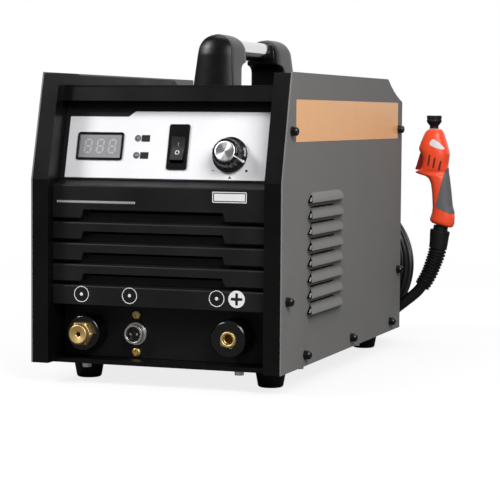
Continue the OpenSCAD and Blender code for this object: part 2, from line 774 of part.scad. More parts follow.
// The rocker: two faces that meet in a shallow valley, on a pin, lying with its upper half pressed in
module switch_rocker() {
    half = rocker_h / 2;
    color("#151516") unit_frame() on_fascia() translate([switch_x, control_u - rocker_drop, -rocker_in])
        rotate([-rocker_swing / 2, 0, 0]) {
            rotate([90, 0, 90]) linear_extrude(rocker_w, center = true) polygon([[-half + 0.8, 1.5],
                [-half + 0.3, 7.2], [-3, 5.6], [3, 5.6], [half - 0.3, 7.2], [half - 0.8, 1.5],
                [3, -4], [-3, -4]]);
            rotate([0, 90, 0]) cylinder(r = rocker_pin_r, h = rocker_w + 2, center = true);
        }
}

module knob_body() {
    grooves = 18;
    side = [[0, 2], [shaft_r + 0.6, 2], [knob_r - 0.6, 1], [knob_r, 1.6], [knob_r, 3.4], [knob_r - 3, 5],
        [knob_r - 4.2, knob_h - 1.4], [knob_r - 5.4, knob_h], [0, knob_h]];
    color("#0e0e0f") unit_frame() on_fascia() translate([knob_x, knob_u, 0]) {
        difference() {
            rotate_extrude() polygon(side);
            for (k = [0:grooves - 1])
                rotate([0, 0, 360 * k / grooves]) translate([knob_r - 2.9, 0, 5.4])
                    cylinder(r = 0.9, h = knob_h, $fn = 16);
            translate([0, 0, knob_h - 1]) cylinder(r = cap_r + pin_gap, h = 2);
        }
        translate([0, 0, -10]) cylinder(r = shaft_r, h = 13);
    }
}

module knob_cap() {
    color("#d9d9da") unit_frame() on_fascia() translate([knob_x, knob_u, knob_h - 1 + pin_gap / 2])
        cylinder(r = cap_r, h = 1.6);
}

module potentiometer() {
    color("#9b9b98") unit_frame() on_fascia() translate([knob_x, knob_u, 0]) difference() {
        union() {
            translate([0, 0, -fascia_t - pot_h]) cylinder(r = 8, h = pot_h - seat);
            translate([0, 0, -fascia_t - 1]) cylinder(r = bush_r, h = fascia_t + 1);
        }
        translate([0, 0, -10.3]) cylinder(r = shaft_r + pin_gap, h = 30);
    }
}

module control_board() {
    gap = board_back - fascia_t;
    color("#24513a") unit_frame() on_fascia() {
        translate([0, 0, -board_back - board_t]) linear_extrude(board_t) polygon(rounded(180, 56, 3, 0, 30));
        translate([display_x - 20, control_u - 9, -board_back]) cube([40, 18, gap - seat]);
        for (u = lamp_u) translate([lamp_x - 2.5, u - 2.5, -board_back]) cube([5, 5, 10.1]);
        translate([knob_x - 6, knob_u - 9, -board_back]) cube([12, 18, gap - pot_h - seat]);
        for (x = [-84, 84], u = [8, 52])
            translate([x, u, -board_back]) cylinder(r = 3, h = gap - pin_gap / 2);
    }
}

// ---- Connectors ----

module torch_outlet_collar() {
    side = [[0, seat / 2], [collar_r, seat / 2], [collar_r, collar_out - 1.2], [collar_r - 1.2, collar_out],
        [0, collar_out]];
    color("#0f0f10") unit_frame() facing_front(collar_x, panel_in, collar_z) difference() {
        union() {
            rotate_extrude() polygon(side);
            translate([0, 0, -10]) cylinder(r = outlet_r, h = 11);
            translate([0, 0, -panel_t - 6]) cylinder(r = 15, h = 6 - shank_gap, $fn = 6);
        }
        translate([0, 0, -12]) cylinder(r = fitting_r + pin_gap, h = collar_out + 14);
    }
}

module torch_outlet_fitting() {
    cone = [[0, 0], [hex_flats * 0.6, 0], [hex_flats * 0.6, 7.6], [hex_flats * 0.42, 10], [0, 10]];
    color("#caa25a") unit_frame() facing_front(collar_x, panel_in, collar_z) difference() {
        union() {
            translate([0, 0, -22]) cylinder(r = fitting_r, h = collar_out + 24);
            translate([0, 0, -30]) cylinder(r = 4.5, h = 9);
            intersection() {
                translate([0, 0, collar_out + seat / 2]) cylinder(d = hex_flats / cos(30), h = 10, $fn = 6);
                translate([0, 0, collar_out]) rotate_extrude() polygon(cone);
            }
        }
        translate([0, 0, -31]) cylinder(r = 2.5, h = collar_out + 45);
    }
}

module control_socket_shell() {
    color("#c6c5bf") unit_frame() facing_front(socket_x, panel_in, socket_z) {
        difference() {
            union() {
                translate([0, 0, seat / 2]) cylinder(r = socket_r, h = socket_out);
                translate([0, 0, seat / 2]) cylinder(r = socket_r + 1.7, h = 2.6);
                translate([0, 0, -9]) cylinder(r = socket_r - barrel_step, h = 10);
            }
            translate([0, 0, -10]) cylinder(r = socket_r - 2, h = socket_out + 12);
        }
        for (x = [-pin_x, pin_x]) translate([x, 0, -12]) cylinder(r = pin_r, h = 11 + socket_out);
    }
}

module control_socket_insert() {
    color("#0c0c0d") unit_frame() facing_front(socket_x, panel_in, socket_z) difference() {
        translate([0, 0, -9]) cylinder(r = socket_r - 2 - pin_gap, h = 3.5 + socket_out);
        for (x = [-pin_x, pin_x]) translate([x, 0, -12]) cylinder(r = pin_r + pin_gap, h = 30);
    }
}

module socket_screws() {
    color("#bfa878") unit_frame() for (k = [-1, 1])
        facing_front(socket_x, panel_in - seat / 2, socket_z + k * screw_span)
            pan_screw(4.3, 2.6, small_screw_r, 7);
}

module work_socket_body() {
    side = [[0, seat / 2], [work_r, seat / 2], [work_r, work_out - 1.6], [work_r - 1.6, work_out],
        [0, work_out]];
    color("#0f0f10") unit_frame() facing_front(work_x, panel_in, work_z) difference() {
        union() {
            rotate_extrude() polygon(side);
            translate([0, 0, -10]) cylinder(r = work_r - 4, h = 11);
            translate([0, 0, -panel_t - 6]) cylinder(r = work_r + 1, h = 6 - shank_gap, $fn = 6);
        }
        translate([0, 0, -12]) cylinder(r = contact_r + pin_gap, h = work_out + 14);
    }
}

module work_socket_contact() {
    color("#c79a4a") unit_frame() facing_front(work_x, panel_in, work_z) difference() {
        union() {
            translate([0, 0, -16]) cylinder(r = contact_r, h = 12 + work_out);
            translate([0, 0, -32]) cylinder(r = 4, h = 17);
        }
        cylinder(r = work_bore_r, h = work_out + 1);
    }
}

// ---- Inside ----

module inner_shelf() {
    y0 = front + shelf_y;
    y1 = rear_face - fan_d - 12;
    color("#8d8f91") unit_frame() {
        box(-shelf_x, shelf_x, y0, y1, base + shelf_z, shelf_top);
        both_sides() box(shelf_x - sheet, shelf_x, y0, y1, base + sheet + seat, base + shelf_z);
    }
}

module heatsink() {
    fins = 12;
    z = shelf_top + seat / 2;
    pitch = (sink_x[1] - sink_x[0] - fin_t) / (fins - 1);
    color("#b4b6b8") unit_frame() {
        box(sink_x[0], sink_x[1], front + sink_y[0], front + sink_y[1], z, z + 7);
        for (k = [0:fins - 1])
            box(sink_x[0] + k * pitch, sink_x[0] + k * pitch + fin_t, front + sink_y[0], front + sink_y[1],
                z + 6, z + fin_h);
    }
}

module power_board() {
    z = shelf_top + board_up;
    color("#1f4a30") unit_frame() {
        box(sink_x[0] - 4, sink_x[1] + 4, front + sink_y[0] - 4, front + sink_y[1] + 4, z, z + board_t);
        for (x = [sink_x[0] + 2, sink_x[1] - 2], y = [sink_y[0] + 2, sink_y[1] - 2])
            translate([x, front + y, shelf_top + fin_h + seat])
                cylinder(r = 1.6, h = board_up - fin_h, $fn = 24);
    }
}

module capacitors() {
    color("#2a3442") unit_frame() for (x = capacitor_x)
        translate([x, front + sink_y[1] - 30, shelf_top + board_up + board_t + seat / 2]) difference() {
            cylinder(r = capacitor_r, h = capacitor_h);
            translate([0, 0, capacitor_h - 1]) cylinder(r = capacitor_r - 3, h = 2);
        }
}

module transformer() {
    z = shelf_top + seat / 2;
    mid_x = core_x + core_w / 2;
    color("#5a4632") unit_frame() {
        difference() {
            box(core_x, core_x + core_w, front + core_y, front + core_y + core_d, z, z + core_h);
            box(core_x + 11, core_x + core_w - 17, front + core_y - 1, front + core_y + core_d + 1,
                z + 12, z + core_h - 12);
        }
        translate([mid_x - 3, front + core_y + core_d / 2, z + 12 + shank_gap])
            cylinder(r = 16, h = core_h - 24 - 2 * shank_gap);
    }
}

module choke() {
    color("#b8893c") unit_frame()
        translate([62, front + core_y + core_d / 2, shelf_top + seat / 2 + choke_wire_r + thread_gap])
            rotate_extrude() translate([22, 0]) circle(r = choke_wire_r, $fn = 32);
}

module compressor_pump() {
    z = base + pump_z;
    color("#9a9da0") unit_frame() translate([0, front + pump_y, 0]) {
        translate([0, 0, z + 24]) rotate([90, 0, 0]) cylinder(r = 26, h = pump_d, center = true);
        translate([0, 0, z + 44]) cylinder(r = 18, h = 34);
        for (k = [0:4]) translate([0, 0, z + 53 + k * 5]) cylinder(r = 25, h = 2);
        translate([-pump_head / 2, -pump_head / 2, z + 77]) cube([pump_head, pump_head, 9]);
        box(-mount_x - 7, mount_x + 7, -32, 92, z - 8, z - 4);
        box(-18, 18, -pump_d / 2, pump_d / 2, z - 5, z);
    }
}

module compressor_motor() {
    length = 76;
    color("#3a3c3f") unit_frame()
        translate([0, front + pump_y + pump_d / 2 + seat, base + pump_z + 24]) rotate([-90, 0, 0]) {
            cylinder(r = motor_r, h = length);
            translate([0, 0, length - 1]) cylinder(r = motor_r - 5, h = 8);
        }
}

module compressor_mounts() {
    h = pump_z - 8 - sheet - 1.5 * seat;
    color("#151515") unit_frame() for (x = [-mount_x, mount_x], y = mount_y)
        translate([x, front + y, base + sheet + seat / 2])
            rotate_extrude() polygon([[0, 0], [10, 0], [7.5, h / 2], [10, h], [0, h]]);
}

// Copper pipe from the pump's head down to the valve, with two bends
module air_pipe() {
    head_z = base + pump_z + 81.5;
    drop_z = base + collar_z + pipe_bend;
    head_x = -pump_head / 2 - seat / 2;
    y = front + pump_y;
    color("#b87347") unit_frame() {
        translate([head_x, y, head_z]) rotate([0, -90, 0])
            cylinder(r = pipe_r, h = head_x - valve_at[0] - pipe_bend);
        translate([valve_at[0] + pipe_bend, y, head_z - pipe_bend]) rotate([90, 0, 0]) rotate([0, 0, 90])
            rotate_extrude(angle = 90) translate([pipe_bend, 0]) circle(r = pipe_r);
        translate([valve_at[0], y, drop_z]) cylinder(r = pipe_r, h = head_z - pipe_bend - drop_z);
        translate([valve_at[0], y - pipe_bend, drop_z]) rotate([90, 0, 90]) rotate([0, 0, -90])
            rotate_extrude(angle = 90) translate([pipe_bend, 0]) circle(r = pipe_r);
        translate([valve_at[0], front + valve_at[1] + valve_d + seat / 2, drop_z - pipe_bend])
            rotate([-90, 0, 0])
                cylinder(r = pipe_r, h = pump_y - valve_at[1] - valve_d - pipe_bend - seat / 2);
    }
}

module air_hose() {
    color("#2b5fa8") unit_frame() facing_front(collar_x, panel_in, collar_z) difference() {
        translate([0, 0, -50]) cylinder(r = 6, h = 24);
        translate([0, 0, -52]) cylinder(r = 4.5 + pin_gap, h = 30);
    }
}

module solenoid_valve() {
    z = base + sheet + seat / 2;
    y = front + valve_at[1];
    color("#4a4b4d") unit_frame() {
        box(valve_at[0] - valve_d / 2, valve_at[0] + valve_d / 2, y, y + valve_d, z, base + 42);
        translate([valve_at[0], y + valve_d / 2, base + 41]) cylinder(r = 11, h = 30);
    }
}

// ---- Rear ----

module fan_frame() {
    color("#131314") unit_frame() in_front_of_rear(fan_x, fan_z) difference() {
        linear_extrude(fan_d) polygon(rounded(fan_w, fan_w, 5));
        translate([0, 0, -1]) difference() {
            cylinder(r = fan_bore, h = fan_d + 2);
            cylinder(r = fan_hub + 1, h = 4.5);
            for (a = [45:90:315]) rotate([0, 0, a]) translate([0, -3, 0]) cube([fan_bore + 2, 6, 4.5]);
        }
        translate([0, 0, -1]) cylinder(r = fan_pin_r + pin_gap, h = 8);
        for (x = [-fan_hole, fan_hole], y = [-fan_hole, fan_hole])
            translate([x, y, -1]) cylinder(r = small_screw_r + shank_gap, h = fan_d + 2);
    }
}

module fan_rotor() {
    vane = fan_bore - 1.5 - fan_hub - 1;
    color("#1d1d1f") unit_frame() in_front_of_rear(fan_x, fan_z) {
        difference() {
            translate([0, 0, 4.2]) cylinder(r = fan_hub, h = fan_d - 5.2);
            translate([0, 0, 4]) cylinder(r = fan_hub - 2, h = fan_d - 8);
        }
        cylinder(r = fan_pin_r, h = fan_d - 2);
        for (k = [0:fan_blades - 1])
            rotate([0, 0, 360 * k / fan_blades]) translate([fan_hub - 1, 0, fan_d / 2 + 2])
                rotate([38, 0, 0]) translate([0, -11, -0.8]) cube([vane, 22, 1.6]);
    }
}

module fan_guard() {
    wire_r = 1.1;
    spoke = fan_hole * sqrt(2) - 14.5;
    color("#c4c5c6") unit_frame() out_of_rear(fan_x, fan_z) translate([0, 0, seat / 2]) {
        for (r = [fan_bore - 4:-9:12])
            rotate_extrude() translate([r, guard_out - wire_r]) circle(r = wire_r, $fn = 16);
        for (a = [45:90:315])
            rotate([0, 0, a]) translate([11, -wire_r, 0.9]) cube([spoke, 2 * wire_r, 2]);
        for (x = [-fan_hole, fan_hole], y = [-fan_hole, fan_hole]) translate([x, y, 0]) difference() {
            cylinder(r = 4.4, h = lug_h);
            translate([0, 0, -1]) cylinder(r = small_screw_r + shank_gap, h = lug_h + 3);
        }
    }
}

module breaker_body() {
    w = breaker_w / 2;
    h = breaker_tall / 2;
    color("#e4e2dc") unit_frame() difference() {
        translate([breaker_x, rear_face, base + breaker_z]) union() {
            box(-w, w, -60, 5, -h, h);
            box(-w - 4, w + 4, seat / 2, 3, -h - 4, h + 4);
        }
        translate([breaker_x, rear_face, base + breaker_z]) box(-13, 13, -14, 6, -14, 14);
        translate([breaker_x, rear_face - lever_in, base + breaker_z]) rotate([0, 90, 0])
            cylinder(r = 2 + pin_gap, h = 30, center = true);
    }
}

module breaker_lever() {
    color("#1e3f7a") unit_frame() translate([breaker_x, rear_face - lever_in, base + breaker_z])
        rotate([-32, 0, 0]) {
            rotate([0, 90, 0]) cylinder(r = 6, h = 25, center = true);
            rotate([0, 90, 0]) cylinder(r = 2, h = 29.6, center = true);
            translate([-12.5, 0, -3]) cube([25, 19, 6]);
        }
}

module mains_gland() {
    color("#151516") unit_frame() out_of_rear(gland_x, gland_z) difference() {
        union() {
            translate([0, 0, seat / 2]) cylinder(r = 14, h = 6, $fn = 6);
            rotate_extrude() polygon([[0, 5], [11.5, 5], [11.5, 17], [8.5, 22], [0, 22]]);
            translate([0, 0, -12]) cylinder(r = gland_r, h = 13);
            translate([0, 0, -sheet - 5.2]) cylinder(r = 14, h = 5, $fn = 6);
        }
        translate([0, 0, -13]) cylinder(r = 4.5, h = 40);
    }
}

// ---- Torch and lead ----

// The torch handle's rings: height, left edge, right edge, half thickness and share of the foot's slope
torch_sides = 16;
function rounder(v) = sign(v) * pow(abs(v), 0.8);
function torch_ring(s) = [for (j = [0:torch_sides - 1]) let (a = 360 * j / torch_sides)
    let (across = (s[2] - s[1]) / 2 * rounder(cos(a)))
    [(s[1] + s[2]) / 2 + across, torch_y + s[3] * rounder(sin(a)), s[0] + s[4] * exit_slope * across]];

module torch_form() {
    count = len(torch_stations);
    polyhedron(
        points = [for (s = torch_stations) each torch_ring(s)],
        faces = concat(skin(count, torch_sides), fan_cap(0, torch_sides, false),
            fan_cap((count - 1) * torch_sides, torch_sides, true)));
}

// An outline in (x, z), carried along Y to both sides of the torch's middle
module across_torch(half) {
    translate([0, torch_y + half, 0]) rotate([90, 0, 0]) linear_extrude(2 * half) children();
}

// The soft grey pad let into the back of the torch handle
module grip_zone() {
    across_torch(20) polygon([[175.3, 200], [164.5, 155], [190, 145], [190, 200]]);
}

module on_trigger_pin() {
    translate([trigger_pin[0], torch_y, trigger_pin[1]]) rotate([90, 0, 0]) children();
}

module torch_handle() {
    color("#ef4f2b") unit_frame() difference() {
        torch_form();
        grip_zone();
        across_torch(trigger_t / 2 + 0.5) polygon([[136, 194.2], [154.6, 194.2], [154.6, 217], [136, 217]]);
        on_trigger_pin() cylinder(r = trigger_pin_r + pin_gap, h = 15, center = true);
    }
}

module torch_grip() {
    color("#66686a") unit_frame() intersection() {
        torch_form();
        grip_zone();
    }
}

module torch_trigger() {
    outline = [[145, 215.4], [153.2, 215.4], [153.4, 209], [149.4, 202], [146.6, 196.4], [140.2, 196.2],
        [139.4, 197.4], [141.2, 202.4], [142.8, 208.4]];
    color("#8f1414") unit_frame() {
        across_torch(trigger_t / 2) polygon(outline);
        on_trigger_pin() cylinder(r = trigger_pin_r, h = 14.6, center = true);
    }
}

module torch_head() {
    side = [[0, 0], [5.4, 0], [4.8, 1.6], [4.8, 3.4], [7.4, 6.4], [8.5, 8.8], [7.8, 10.4], [8.2, 11.2],
        [8.2, 14.7], [0, 14.7]];
    color("#111112") unit_frame() translate([159.8, torch_y, 241.7]) difference() {
        rotate_extrude() polygon(side);
        translate([0, 0, 11.2]) cylinder(r1 = 3.2, r2 = 5.4, h = 4);
        translate([0, 0, 8]) cylinder(r = 0.8, h = 8, $fn = 16);
    }
}

// The ribbed bend protector that the lead leaves the torch through: place along the route, radius
boot_ribs = 13;
boot_end = 6.4;
boot_start = 0.1;
rib_steps = [0, 0.3, 0.5, 0.8];
rib_depth = 1.4;
boot_outline = concat([[0, 8], [0.5, 8], [0.54, 10.6], [0.7, 11.1], [2.2, 10]],
    [for (k = [0:boot_ribs - 1], q = [0:3]) [2.4 + (k + rib_steps[q]) * 3.9 / boot_ribs,
        9.9 - 1.3 * k / boot_ribs - (q < 2 ? rib_depth : 0)]],
    [[boot_end, 7.2]]);

module torch_boot() {
    chain = concat(boot_outline, [for (k = [7:-1:0]) [boot_end * k / 7, lead_r + 0.7]]);
    count = len(chain);
    sides = 8;
    last = (count - 1) * sides;
    color("#121213") unit_frame() polyhedron(
        points = [for (c = chain) let (s = c[0] + boot_start)
            each ring(route_centre(s), route_way(s), c[1], sides)],
        faces = concat(skin(count, sides), [for (j = [0:sides - 1], k = [0, 1]) let (d = (j + 1) % sides)
            k == 0 ? [last + j, j, d] : [last + j, d, last + d]]));
}

module lead_tube() {
    steps = 18;
    color("#161617") unit_frame() sweep([for (i = [0:steps]) route_centre(route_last * i / steps)],
        [for (i = [0:steps]) i == 0 ? exit_way : i == steps ? [entry_way[0], 0, entry_way[1]]
            : route_way(route_last * i / steps)], lead_r, 8);
}

module lead_coil() {
    color("#161617") unit_frame() sweep(coil_centres, coil_ways, lead_r, 6);
}

// A hook-and-loop strap round the coil's turns at its top
module coil_tie() {
    inner_z = coil_at[1] + coil_r - turn_pitch * layer_turns - lead_r - seat;
    outer_z = coil_at[1] + coil_r + lead_r + seat;
    depth = turn_pitch * (coil_layers - 1) + lead_d + 2 * seat;
    mid_y = torch_y - lead_r - seat + depth / 2;
    mid_z = (inner_z + outer_z) / 2;
    color("#1b1b1c") unit_frame() along_x(coil_at[0] - 9, coil_at[0] + 9) difference() {
        polygon(rounded(depth + 2 * strap, outer_z - inner_z + 2 * strap, 5.4 + strap, mid_y, mid_z));
        polygon(rounded(depth, outer_z - inner_z, 5.4, mid_y, mid_z));
    }
}

// The sleeve on the lead's far end, with a boss for each of its two plugs
module lead_sleeve() {
    color("#141415") unit_frame() translate(tail) rotate([0, -90, 0]) {
        cylinder(r = lead_r + 2.6, h = 22);
        translate([0, 0, 21]) cylinder(r = 5, h = 22);
        translate([0, plug_y, 30]) cylinder(r = 2.6, h = 22);
        translate([-6, 0, 22]) cube([12, plug_y + 2.6, 10]);
    }
}

module lead_plugs() {
    color("#c9a45c") unit_frame() translate(tail) rotate([0, -90, 0]) {
        translate([0, 0, 43 + seat / 2]) difference() {
            cylinder(r = 11, h = 17, $fn = 6);
            translate([0, 0, 6]) cylinder(r = 7.5, h = 12);
        }
        translate([0, plug_y, 52 + seat / 2]) difference() {
            cylinder(r = 8, h = 26);
            translate([0, 0, 14]) cylinder(r = 6.4, h = 14);
        }
    }
}

base_tray();
front_frame();
front_louvre();
control_fascia();
connector_panel();
side_panel_left();
side_panel_right();
top_cover();
rear_panel();
feet();
underside_screws();
case_screws();
handle_front_end();
handle_rear_end();
handle_tube();
handle_screws();
display_bezel();
display_window();
status_lamps();
switch_housing();
switch_rocker();
knob_body();
knob_cap();
potentiometer();
control_board();
torch_outlet_collar();
torch_outlet_fitting();
control_socket_shell();
control_socket_insert();
socket_screws();
work_socket_body();
work_socket_contact();
inner_shelf();
heatsink();
power_board();
capacitors();
transformer();
choke();
compressor_pump();
compressor_motor();
compressor_mounts();
air_pipe();
air_hose();
solenoid_valve();
fan_frame();
fan_rotor();
fan_guard();
breaker_body();
breaker_lever();
mains_gland();
torch_handle();
torch_grip();
torch_trigger();
torch_head();
torch_boot();
lead_tube();
lead_coil();
coil_tie();
lead_sleeve();
lead_plugs();
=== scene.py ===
import json
import math
import bmesh
import bpy
import numpy as np
from mathutils import Matrix, Vector


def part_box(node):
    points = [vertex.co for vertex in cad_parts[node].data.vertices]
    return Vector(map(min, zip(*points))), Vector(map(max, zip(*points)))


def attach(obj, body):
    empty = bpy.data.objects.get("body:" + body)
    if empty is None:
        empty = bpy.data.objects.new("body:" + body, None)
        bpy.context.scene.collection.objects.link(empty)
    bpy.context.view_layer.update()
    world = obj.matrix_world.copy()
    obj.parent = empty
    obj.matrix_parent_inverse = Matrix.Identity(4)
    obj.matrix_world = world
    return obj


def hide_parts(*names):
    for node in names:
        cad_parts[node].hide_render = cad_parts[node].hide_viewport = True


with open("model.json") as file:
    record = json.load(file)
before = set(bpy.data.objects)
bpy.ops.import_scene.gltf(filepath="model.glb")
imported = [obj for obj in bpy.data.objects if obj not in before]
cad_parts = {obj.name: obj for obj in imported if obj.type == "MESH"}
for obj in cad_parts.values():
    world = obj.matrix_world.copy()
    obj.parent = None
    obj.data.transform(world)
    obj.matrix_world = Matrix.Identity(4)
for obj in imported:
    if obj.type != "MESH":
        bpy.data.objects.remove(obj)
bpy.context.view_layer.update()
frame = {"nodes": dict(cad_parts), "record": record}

# The case, in millimetres: x from its middle, y from its middle, z from the floor
case = {
    "width": 250, "depth": 420, "height": 275, "foot": 20, "sheet": 1.5, "post": 16,
    "leanHeight": 174, "leanRun": 26, "fasciaDepth": 26, "panelDepth": 38, "bladeDepth": 10,
    "coverDrop": 12, "chamferDrop": 24, "chamferRun": 60,
}
frontY = -case["depth"] / 2
rearY = case["depth"] / 2
baseZ = case["foot"]
tilt = math.atan2(case["leanRun"], case["height"] - case["leanHeight"])
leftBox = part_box("side_panel_left")
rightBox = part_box("side_panel_right")
caseOrigin = np.array([(leftBox[0][0] + rightBox[1][0]) / 2, leftBox[0][1] - frontY / 1000, 0.0])


# Case millimetres to metres in the part's frame
def placed(points):
    return np.asarray(points, float) / 1000 + caseOrigin


# Points given as x, distance up the leaning fascia and height out of it
def onFascia(points):
    p = np.asarray(points, float)
    x, u, w = p[..., 0], p[..., 1], p[..., 2]
    y = frontY + case["fasciaDepth"] + u * math.sin(tilt) - w * math.cos(tilt)
    z = baseZ + case["leanHeight"] + u * math.cos(tilt) + w * math.sin(tilt)
    return np.stack([x, y, z], -1)


# Points given as x, height above the base and distance out of a plane at that depth behind the posts
def facingFront(depth):
    def turned(points):
        p = np.asarray(points, float)
        return np.stack([p[..., 0], frontY + depth - p[..., 2], baseZ + p[..., 1]], -1)
    return turned


# Makes an object of some data and adds it to the scene
def addObject(name, data):
    obj = bpy.data.objects.new(name, data)
    bpy.context.scene.collection.objects.link(obj)
    return obj


# The camera stands to the right of the front and looks a little down
camera = {"place": (617.35, -1786.725, 255.69), "azimuth": 19.33, "pitch": 4.21, "roll": 0.42, "lens": 132.227}
cameraData = bpy.data.cameras.new("camera")
cameraData.lens = camera["lens"]
cameraData.sensor_width = 36
cameraData.clip_end = 50
cameraObject = addObject("camera", cameraData)
bpy.context.scene.camera = cameraObject
azimuth, pitch, roll = (math.radians(camera[k]) for k in ("azimuth", "pitch", "roll"))
backWay = Vector((math.sin(azimuth) * math.cos(pitch), -math.cos(azimuth) * math.cos(pitch), math.sin(pitch)))
levelWay = Vector((math.cos(azimuth), math.sin(azimuth), 0))
upWay = backWay.cross(levelWay)
rightWay = levelWay * math.cos(roll) + upWay * math.sin(roll)
upWay = backWay.cross(rightWay)
cameraObject.matrix_world = Matrix.Translation(Vector(camera["place"]) / 1000) @ Matrix(
    (rightWay, upWay, backWay)).transposed().to_4x4()


# A colour written as in a paint chart, turned to linear light
def toLinear(text):
    s = np.array([int(text[i:i + 2], 16) for i in (1, 3, 5)]) / 255
    return (*np.where(s <= 0.04045, s / 12.92, ((s + 0.055) / 1.055) ** 2.4).tolist(), 1.0)


# The emptied node tree of a material or world
def emptyTree(owner):
    owner.use_nodes = True
    owner.node_tree.nodes.clear()
    return owner.node_tree


# A node with its settings; a setting that is an output socket is linked
def addNode(tree, kind, **settings):
    node = tree.nodes.new(kind)
    for name, value in settings.items():
        key = int(name[1:]) if name[0] == "_" and name[1:].isdigit() else name.replace("_", " ")
        if isinstance(key, str) and hasattr(node, name) and key not in node.inputs:
            setattr(node, name, value)
        elif isinstance(value, bpy.types.NodeSocket):
            tree.links.new(value, node.inputs[key])
        else:
            node.inputs[key].default_value = value
    return node


# Noise features of that size in millimetres, as a scale for coordinates in metres
def perMetre(sizeMm):
    return 1000 / sizeMm


# A colour ramp through stops of place and colour
def ramp(tree, value, stops):
    node = addNode(tree, "ShaderNodeValToRGB", Fac=value)
    elements = node.color_ramp.elements
    while len(elements) < len(stops):
        elements.new(0.5)
    for element, (place, colour) in zip(elements, stops):
        element.position = place
        element.color = toLinear(colour) if isinstance(colour, str) else (colour, colour, colour, 1)
    return node


# A surface: colour that drifts between two shades, roughness that wanders, and a fine bump
def surface(name, shades, rough, metal=0.0, ior=1.5, grain=0.8, height=0.02, drift=40, **more):
    material = bpy.data.materials.new(name)
    tree = emptyTree(material)
    place = addNode(tree, "ShaderNodeTexCoord").outputs["Object"]
    wide = addNode(tree, "ShaderNodeTexNoise", Vector=place, Scale=perMetre(drift), Detail=4.0)
    fine = addNode(tree, "ShaderNodeTexNoise", Vector=place, Scale=perMetre(grain), Detail=2.0)
    colour = ramp(tree, wide.outputs["Fac"], [(0.3, shades[0]), (0.7, shades[1])])
    roughness = addNode(tree, "ShaderNodeMapRange", Value=wide.outputs["Fac"], From_Min=0.3, From_Max=0.7,
                        To_Min=rough[0], To_Max=rough[1])
    bump = addNode(tree, "ShaderNodeBump", Height=fine.outputs["Fac"], Distance=height / 1000, Strength=1.0)
    shader = addNode(tree, "ShaderNodeBsdfPrincipled", Base_Color=colour.outputs["Color"],
                     Roughness=roughness.outputs["Result"], Metallic=metal, Normal=bump.outputs["Normal"])
    if metal < 0.5:
        shader.inputs["IOR"].default_value = ior
    for key, value in more.items():
        shader.inputs[key.replace("_", " ")].default_value = value
    addNode(tree, "ShaderNodeOutputMaterial", Surface=shader.outputs["BSDF"])
    return material


# A faced disc: highlights stretch across fine rings round the knob's axis
def spun(name, colour, rough, stretch):
    material = surface(name, (colour, colour), (rough - 0.05, rough + 0.05), metal=1.0, grain=0.6, height=0.001)
    tree = material.node_tree
    shader = next(n for n in tree.nodes if n.type == "BSDF_PRINCIPLED")
    centre = placed(onFascia([63.5, 24.8, 17.0])).tolist()
    place = addNode(tree, "ShaderNodeTexCoord").outputs["Object"]
    arm = addNode(tree, "ShaderNodeVectorMath", operation="SUBTRACT", _0=place, _1=centre).outputs["Vector"]
    axis = (0.0, -math.cos(tilt), math.sin(tilt))
    ring = addNode(tree, "ShaderNodeVectorMath", operation="CROSS_PRODUCT", _0=arm, _1=axis).outputs["Vector"]
    tree.links.new(addNode(tree, "ShaderNodeVectorMath", operation="NORMALIZE", _0=ring).outputs["Vector"],
                   shader.inputs["Tangent"])
    shader.inputs["Anisotropic"].default_value = stretch
    return material


